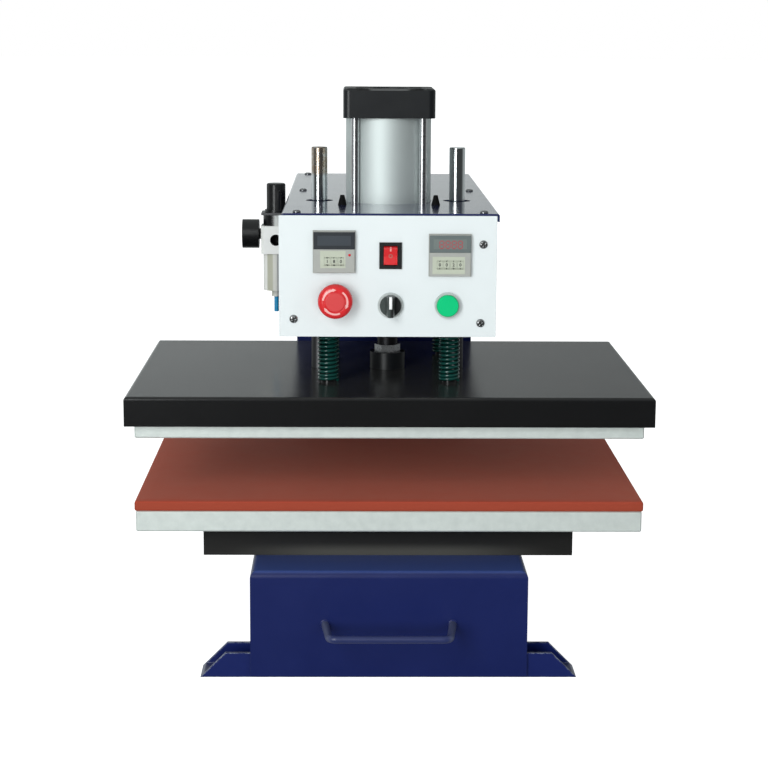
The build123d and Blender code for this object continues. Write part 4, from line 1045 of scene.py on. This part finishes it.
def add_bar(made, ax, az, bx, bz, y):
    """One pointed bar of a figure between two corners."""
    along_bar = Vector((bx - ax, 0.0, bz - az)).normalized()
    across = Vector((-along_bar.z, 0.0, along_bar.x)) * BAR / 2
    start = Vector((ax, y, az)) + along_bar * BAR * BAR_GAP
    end = Vector((bx, y, bz)) - along_bar * BAR * BAR_GAP
    inner_start = start + along_bar * BAR / 2
    inner_end = end - along_bar * BAR / 2
    corners = [start, inner_start + across, inner_end + across, end, inner_end - across,
               inner_start - across]
    made.faces.new([made.verts.new(corner) for corner in corners])


def add_figure(made, x, y, z):
    """All seven bars of one figure, centred at x and z."""
    left, right = x - FIGURE[0] / 2, x + FIGURE[0] / 2
    low, high = z - FIGURE[1] / 2, z + FIGURE[1] / 2
    for ends in ((left, high, right, high), (left, z, right, z), (left, low, right, low),
                 (left, low, left, z), (left, z, left, high), (right, low, right, z),
                 (right, z, right, high)):
        add_bar(made, *ends, y)


x, y, z = window_middle("timer")
made = bmesh.new()
for number in range(FIGURES):
    add_figure(made, x + (number + FIRST_FIGURE) * FIGURE_PITCH, y - LENS_PROUD - FIGURE_PROUD,
               z - FIGURE_DROP)
add_piece("timer_figures", made, glow, "base")
print("figures", FIGURES)

# %% [markdown]
# ## Marks on the controls
# The mushroom carries three pale arrows that say which way to twist it. They follow its dome, so
# each point of the flat arrow is cast against the solid along the push direction and laid a tenth
# of a millimetre in front. The selector has a white line, and the rocker a bar and a ring.

# %% Casting marks on a solid
def caster(node, lift):
    """A function that lays a point at x and z on a solid's front, a little proud of it."""
    solid = BVHTree.FromObject(frame["nodes"][node], bpy.context.evaluated_depsgraph_get())
    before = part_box(node)[0].y - 20 * MM

    def cast(x, z):
        hit = solid.ray_cast(Vector((x, before, z)), Vector((0, 1, 0)))[0]
        return Vector((x, hit.y - lift, z))
    return cast


print("caster", caster.__name__)

# %% [markdown]
# ### Twist arrows
# Each arrow is a curved strip that widens a little towards its head and then narrows to a point. It
# needs many small faces, because it lies on a dome.

# %% Twist arrows
ARROW_RADIUS = 14.3 * MM
ARROW_WIDTH = 1.25 * MM
ARROW_SPAN = math.radians(88)
ARROW_STARTS = (math.radians(-82), math.radians(36), math.radians(157))
ARROW_HEAD = 0.22
HEAD_FLARE = 1.7
SHAFT_FLARE = (0.75, 1.05)
ARROW_STEPS = 22
ARROW_LANES = 6

pale_ink = finish("pale_ink", (0.74, 0.34, 0.33), (0.80, 0.42, 0.40), 0.4, cloud=0.006, skin=0.0005,
                  edge=0.0001, bump=0.02)
on_dome = caster("emergency_stop_head", 0.12 * MM)
made = bmesh.new()
for start in ARROW_STARTS:
    rows = []
    for step in range(ARROW_STEPS + 1):
        share = step / ARROW_STEPS
        angle = start + ARROW_SPAN * share
        flare = SHAFT_FLARE[0] + (SHAFT_FLARE[1] - SHAFT_FLARE[0]) * share
        if share > 1 - ARROW_HEAD:
            flare = HEAD_FLARE * (1 - share) / ARROW_HEAD
        row = []
        for lane in range(ARROW_LANES + 1):
            radius = ARROW_RADIUS + ARROW_WIDTH * flare * (2 * lane / ARROW_LANES - 1)
            row.append(made.verts.new(on_dome(stop_centre.x + radius * math.sin(angle),
                                              stop_centre.z + radius * math.cos(angle))))
        rows.append(row)
    for here, there in zip(rows, rows[1:]):
        for lane in range(ARROW_LANES):
            made.faces.new([here[lane], here[lane + 1], there[lane + 1], there[lane]])
bmesh.ops.remove_doubles(made, verts=made.verts, dist=1e-6)
add_piece("twist_arrows", made, pale_ink, "emergency_stop_head")
print("arrows", len(ARROW_STARTS))

# %% [markdown]
# ### The selector's line
# The white line is paint in a shallow groove. A thin plate sunk into the knob reads the same, and it
# turns with the knob because it rides on that body.

# %% Selector line
LINE = (3.4 * MM, 14.4 * MM)
LINE_RISE = 4.85 * MM
LINE_PROUD = 0.06 * MM
LINE_SUNK = 0.2 * MM
LINE_EDGE = 0.05 * MM

white_ink = finish("white_ink", (0.80, 0.80, 0.80), (0.86, 0.86, 0.86), 0.4, cloud=0.01,
                   skin=0.0005, edge=0.0001, bump=0.02)
middle = centre_of("selector_knob") + Vector((0, 0, LINE_RISE))
middle.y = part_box("selector_knob")[0].y
add_piece("selector_line", front_plate(middle, *LINE, LINE_PROUD, LINE_SUNK, edge=LINE_EDGE, steps=1),
          white_ink, "selector_knob")
print("line at", tuple(round(v, 4) for v in middle))

# %% [markdown]
# ### The rocker's signs
# A bar stands for on and a ring for off. The bar is a small grid and the ring is a letter of
# Blender's own font. Each of their points is laid on the curved rocker, and they tip with it.

# %% Rocker marks
ROCKER_BAR = (1.7 * MM, 5.4 * MM)
ROCKER_RING = (6.0 * MM, 0.30 * MM)
BAR_HEIGHT = 8.2 * MM
RING_HEIGHT = -0.6 * MM

dim_ink = finish("dim_ink", (0.36, 0.10, 0.085), (0.42, 0.13, 0.11), 0.4, cloud=0.004, skin=0.0005,
                 edge=0.0001, bump=0.02)
stroke = bmesh.new()
bmesh.ops.create_grid(stroke, x_segments=2, y_segments=6, size=0.5)
bmesh.ops.scale(stroke, vec=(*ROCKER_BAR, 1.0), verts=stroke.verts)
on_rocker = caster("rocker", 0.10 * MM)
rocker_centre = centre_of("rocker")
rocker_marks = (
    ("rocker_mark_on", mesh_from("rocker_mark_on", stroke), BAR_HEIGHT, pale_ink),
    ("rocker_mark_off", text_mesh("rocker_mark_off", "O", *ROCKER_RING), RING_HEIGHT, dim_ink))
for name, mesh, height, mark_ink in rocker_marks:
    for vertex in mesh.vertices:
        spot = UPRIGHT @ vertex.co
        vertex.co = on_rocker(rocker_centre.x + spot.x, rocker_centre.z + height + spot.z)
    add_piece(name, mesh, mark_ink, "rocker")
print("rocker marks", len(rocker_marks))

# %% [markdown]
# ## The gauge's dial
# The gauge looks to the left, so the photograph shows only its side. A dial of this kind has a white
# face, a scale of plain numbers, a needle on a hub and a glass. It is built facing up and turned.

# %% Gauge face and scale
DIAL_DEPTH = 1.9 * MM
DIAL_RADIUS = 16.7 * MM
DIAL_START = math.radians(225)
DIAL_SWEEP = math.radians(270)
TICKS = 50
TICK_SHAPES = ((10, 0.80, 0.16 * MM), (5, 0.86, 0.08 * MM), (1, 0.90, 0.08 * MM))
TICK_END = 0.96
NUMBERS = 6
NUMBER_RING = 0.62
NUMBER_SIZE = 3.0 * MM
INK_LIFT = 0.04 * MM

gauge_centre = centre_of("pressure_gauge")
dial_spot = (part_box("pressure_gauge")[0].x + DIAL_DEPTH, gauge_centre.y, gauge_centre.z)
dial_place = Matrix.Translation(dial_spot) @ Matrix.Rotation(-math.pi / 2, 4, "Z") @ UPRIGHT
dial_face = finish("dial_face", (0.78, 0.78, 0.76), (0.84, 0.84, 0.82), 0.5, cloud=0.02,
                   skin=0.0006, edge=0.0002, bump=0.02)
made = bmesh.new()
add_turned(made, [(0.0, 0.0), (DIAL_RADIUS, 0.0), (DIAL_RADIUS, -0.4 * MM)], 48, dial_place)
add_piece("gauge_dial", made, dial_face, "base", smooth=False)


def ray_and_side(angle):
    """Two unit vectors on the dial: outward at an angle, and across that."""
    ray = Vector((math.cos(angle), math.sin(angle), 0.0))
    return ray, Vector((-ray.y, ray.x, 0.0))


lift = Vector((0.0, 0.0, INK_LIFT))
made = bmesh.new()
for tick in range(TICKS + 1):
    ray, side = ray_and_side(DIAL_START - DIAL_SWEEP * tick / TICKS)
    inner, half = next((start, width) for every, start, width in TICK_SHAPES if tick % every == 0)
    near, far = ray * DIAL_RADIUS * inner, ray * DIAL_RADIUS * TICK_END
    ends = [near - side * half, far - side * half, far + side * half, near + side * half]
    made.faces.new([made.verts.new(dial_place @ (end + lift)) for end in ends])
for number in range(NUMBERS):
    ray = ray_and_side(DIAL_START - DIAL_SWEEP * number / (NUMBERS - 1))[0]
    add_mesh(made, text_mesh(f"scale_{number}", str(2 * number), NUMBER_SIZE),
             dial_place @ Matrix.Translation(ray * DIAL_RADIUS * NUMBER_RING + lift))
add_piece("gauge_scale", made, ink, "base", smooth=False)
print("ticks", TICKS + 1)

# %% [markdown]
# ### Needle and glass
# The needle rests a bit over four on the scale. The glass is closed, with a front and a back, since
# a shader with transmission bends the light at both.

# %% Gauge needle and glass
NEEDLE_SHARE = 0.42
NEEDLE_LIFT = 0.5 * MM
NEEDLE_HALF = 0.6 * MM
NEEDLE_TIP = 0.84
NEEDLE_TAIL = 0.25
HUB_SHAPE = ((0.0, 1.0), (1.4, 0.8), (1.7, 0.1))
GLASS_TOP = (1.75 * MM, 1.6 * MM)
GLASS_BOTTOM = 1.2 * MM

made = bmesh.new()
ray, side = ray_and_side(DIAL_START - NEEDLE_SHARE * DIAL_SWEEP)
lift = Vector((0.0, 0.0, NEEDLE_LIFT))
tips = (ray * DIAL_RADIUS * NEEDLE_TIP, side * NEEDLE_HALF, -ray * DIAL_RADIUS * NEEDLE_TAIL,
        -side * NEEDLE_HALF)
made.faces.new([made.verts.new(dial_place @ (tip + lift)) for tip in tips])
add_turned(made, [(r * MM, h * MM) for r, h in HUB_SHAPE], 24, dial_place)
add_piece("gauge_needle", made, ink, "base")

made = bmesh.new()
add_turned(made, [(0.0, GLASS_TOP[0]), (DIAL_RADIUS, GLASS_TOP[1]), (DIAL_RADIUS, GLASS_BOTTOM),
                  (0.0, GLASS_BOTTOM)], 48, dial_place)
glass = plain_material("gauge_glass", {
    "Metallic": 0.0, "Roughness": 0.03, "Transmission Weight": 1.0, "IOR": 1.46})[0]
add_piece("gauge_glass", made, glass, "base")
print("needle shows", 10 * NEEDLE_SHARE)

# %% [markdown]
# ## The inlet's sleeve
# The filter's port has a black threaded sleeve. It is a thin cup that lines the bore and leaves it
# open, with a few turned grooves that read as thread.

# %% Inlet sleeve
PORT_RADIUS = 6.55 * MM
PORT_DEPTH = 11.8 * MM
PORT_X = -145.7 * MM
PORT_Z = 487.8 * MM
RIM = (0.9 * MM, 0.3 * MM)
GROOVES = 5
THREAD_PITCH = 1.3 * MM
THREAD_HALF = 0.4 * MM
THREAD_DEPTH = 0.5 * MM

port = (PORT_X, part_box("regulator_body")[0].y, PORT_Z)
profile = [(PORT_RADIUS + RIM[0], 0.0), (PORT_RADIUS + RIM[0], RIM[1]), (PORT_RADIUS, RIM[1])]
for groove in range(GROOVES):
    depth = -(groove + 0.5) * THREAD_PITCH
    profile += [(PORT_RADIUS, depth + THREAD_HALF), (PORT_RADIUS - THREAD_DEPTH, depth),
                (PORT_RADIUS, depth - THREAD_HALF)]
profile += [(PORT_RADIUS, -PORT_DEPTH), (0.0, -PORT_DEPTH)]
made = bmesh.new()
add_turned(made, profile, 40, Matrix.Translation(port) @ UPRIGHT)
add_piece("inlet_sleeve", made, finishes["black_rubber"], "base")
print("sleeve grooves", GROOVES)

# %% [markdown]
# ## Weld beads
# The handle and the column's foot are welded. A weld is a row of small overlapping ripples, which
# a tube with a slightly changing radius gives; the Curve's own point radius does that.

# %% Welds
WELD_RIPPLE = 0.14
HANDLE_RADIUS = 4.5 * MM
HANDLE_BEAD = 1.1 * MM
RING_RADIUS = HANDLE_RADIUS * 1.08
RING_POINTS = 28
RING_SUNK = 0.5 * MM
COLUMN_BEAD = 2.4 * MM
COLUMN_HALF = 122.0 * MM
FOOT = 8.0 * MM
RUN_POINTS = 60
RUN_MARGIN = 0.03

handle_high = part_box("pull_handle")[1]
handle_z = centre_of("pull_handle").z
column_low, column_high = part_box("column")
column_depth = column_high.y - column_low.y


def handle_ring(side):
    """Points round one end of the handle."""
    x = side * (handle_high.x - HANDLE_RADIUS)
    angles = [2 * math.pi * number / RING_POINTS for number in range(RING_POINTS)]
    return [(x + RING_RADIUS * math.cos(angle), handle_high.y - RING_SUNK,
             handle_z + RING_RADIUS * math.sin(angle)) for angle in angles]


def column_run(side):
    """Points along the column's foot on one side."""
    step = (1 - 2 * RUN_MARGIN) / RUN_POINTS
    return [(side * COLUMN_HALF, column_low.y + column_depth * (RUN_MARGIN + step * number),
             column_low.z + FOOT) for number in range(RUN_POINTS + 1)]


for part, points, radius, body, closed in (("handle", handle_ring, HANDLE_BEAD, "drawer", True),
                                           ("column", column_run, COLUMN_BEAD, "base", False)):
    for side, hand in ((-1, "left"), (1, "right")):
        name = f"{hand}_{part}_weld"
        add_piece(name, tube_mesh(name, points(side), radius, closed, WELD_RIPPLE),
                  finishes["navy_paint"], body)
print("welds on the column", round(column_depth, 4), "long")

# %% [markdown]
# ## Floor
# The photograph is a catalogue picture on plain white. The floor is a wide pale disc. The camera
# should see it almost white right to the horizon, yet the glossy paint of the press must not mirror a
# white floor, or the navy turns grey. So a little emission is added for camera rays alone, and
# glossy rays pass the disc and meet the studio behind it.

# %% Floor
FLOOR_RADIUS = 40.0
FLOOR_DROP = 0.5 * MM
FLOOR_LIFT = 0.93

made = bmesh.new()
bmesh.ops.create_circle(made, cap_ends=True, radius=FLOOR_RADIUS, segments=96)
floor = show("floor", mesh_from("floor", made, smooth=False))
floor.location.z = -FLOOR_DROP
floor.visible_glossy = False
floor_paint, floor_shader = plain_material("floor_paint", {
    "Base Color": (0.80, 0.80, 0.80, 1.0), "Roughness": 0.7, "Specular IOR Level": 0.0,
    "Emission Color": (1.0, 1.0, 1.0, 1.0)})
tree = floor_paint.node_tree
seen = add_node(tree, "LightPath").outputs["Is Camera Ray"]
tree.links.new(calculate(tree, "MULTIPLY", seen, FLOOR_LIFT), floor_shader.inputs["Emission Strength"])
floor.data.materials.append(floor_paint)
print("floor radius", FLOOR_RADIUS)

# %% [markdown]
# ## The studio round the press
# Metal and gloss show what stands round them, so the room matters as much as the lamps. Behind the
# press the room is pale at the level of the table and darker above, which is what the black cover
# and the lid mirror, and its right side is dimmer than its left. In front it is dark, so upright
# painted faces keep their colour. The room is a world whose brightness depends on direction; the
# camera itself sees plain white.

# %% Studio
WHITE = (1.0, 1.0, 1.0, 1.0)
ROOM_TINT = (0.94, 1.0, 1.0, 1.0)
BEHIND = ((-1.0, 0.30), (-0.15, 0.45), (0.02, 0.95), (0.10, 0.88), (0.150, 0.24), (0.182, 0.52),
          (0.24, 0.32), (0.35, 0.25), (1.0, 0.55))
AHEAD = ((-1.0, 0.22), (-0.35, 0.08), (0.10, 0.05), (0.45, 0.28), (1.0, 0.55))

world = bpy.data.worlds.new("studio")
bpy.context.scene.world = world
world.use_nodes = True
room = world.node_tree
direction = add_node(room, "TexCoord").outputs["Generated"]
room_axes = add_node(room, "SeparateXYZ", {0: direction}).outputs


def height_ramp(stops):
    """Brightness by height: stops of (height of the direction from -1 to 1, brightness)."""
    ramp = add_node(room, "ValToRGB", {0: spread(room, room_axes["Z"], -1.0, 1.0)})
    points = ramp.color_ramp.elements
    for point, (height, level) in zip(points, (stops[0], stops[-1])):
        point.color = (level, level, level, 1.0)
    for height, level in stops[1:-1]:
        points.new(0.5 + 0.5 * height).color = (level, level, level, 1.0)
    return ramp.outputs[0]


sideways = spread(room, room_axes["X"], -0.12, 0.14, 1.10, 0.70)
back_wall = mix_colours(room, 1.0, height_ramp(BEHIND), sideways, way="MULTIPLY")
walls = mix_colours(room, fade(room, room_axes["Y"], -0.45, 0.35), height_ramp(AHEAD), back_wall)
tinted = mix_colours(room, 1.0, walls, ROOM_TINT, way="MULTIPLY")
seen = add_node(room, "LightPath").outputs["Is Camera Ray"]
sky = room.nodes["Background"]
room.links.new(mix_colours(room, seen, tinted, WHITE), sky.inputs["Color"])
sky.inputs["Strength"].default_value = 1.0
print("studio nodes", len(room.nodes))

# %% [markdown]
# ## Lamps
# One tall soft panel stands to the left of the camera. Its height draws the long white line on the
# chromed rods and the broad gleam on the cylinder, and its soft edge gives every control a faint
# shadow to the lower right. Two weaker panels, one low in front and one on the right, open the
# shadows; they light the paint but are hidden from glossy rays, so they leave no second gleam.

# %% Lamps
LAMP_COLOUR = (0.97, 1.0, 1.0)


def panel_light(name, place, aim, size, power, mirrored=True):
    """A rectangular soft light aimed at a point. Gloss shows it only if it is mirrored."""
    data = bpy.data.lights.new(name, "AREA")
    data.shape = "RECTANGLE"
    data.size, data.size_y = size
    data.energy = power
    data.color = LAMP_COLOUR
    lamp = show(name, data)
    lamp.visible_glossy = mirrored
    lamp.location = place
    lamp.rotation_euler = (Vector(aim) - Vector(place)).to_track_quat("-Z", "Y").to_euler()


panel_light("key_panel", (-1.40, -3.0, 1.25), (0, 0, 0.40), (1.1, 2.2), 68)
panel_light("low_panel", (0.3, -3.4, 0.45), (0, 0, 0.30), (2.0, 0.8), 24, mirrored=False)
panel_light("right_panel", (2.9, -2.3, 1.2), (0, 0, 0.35), (0.8, 1.8), 10, mirrored=False)
bpy.context.scene.view_settings.view_transform = "Standard"
bpy.context.scene.view_settings.look = "None"
print("lamps", len(bpy.data.lights))
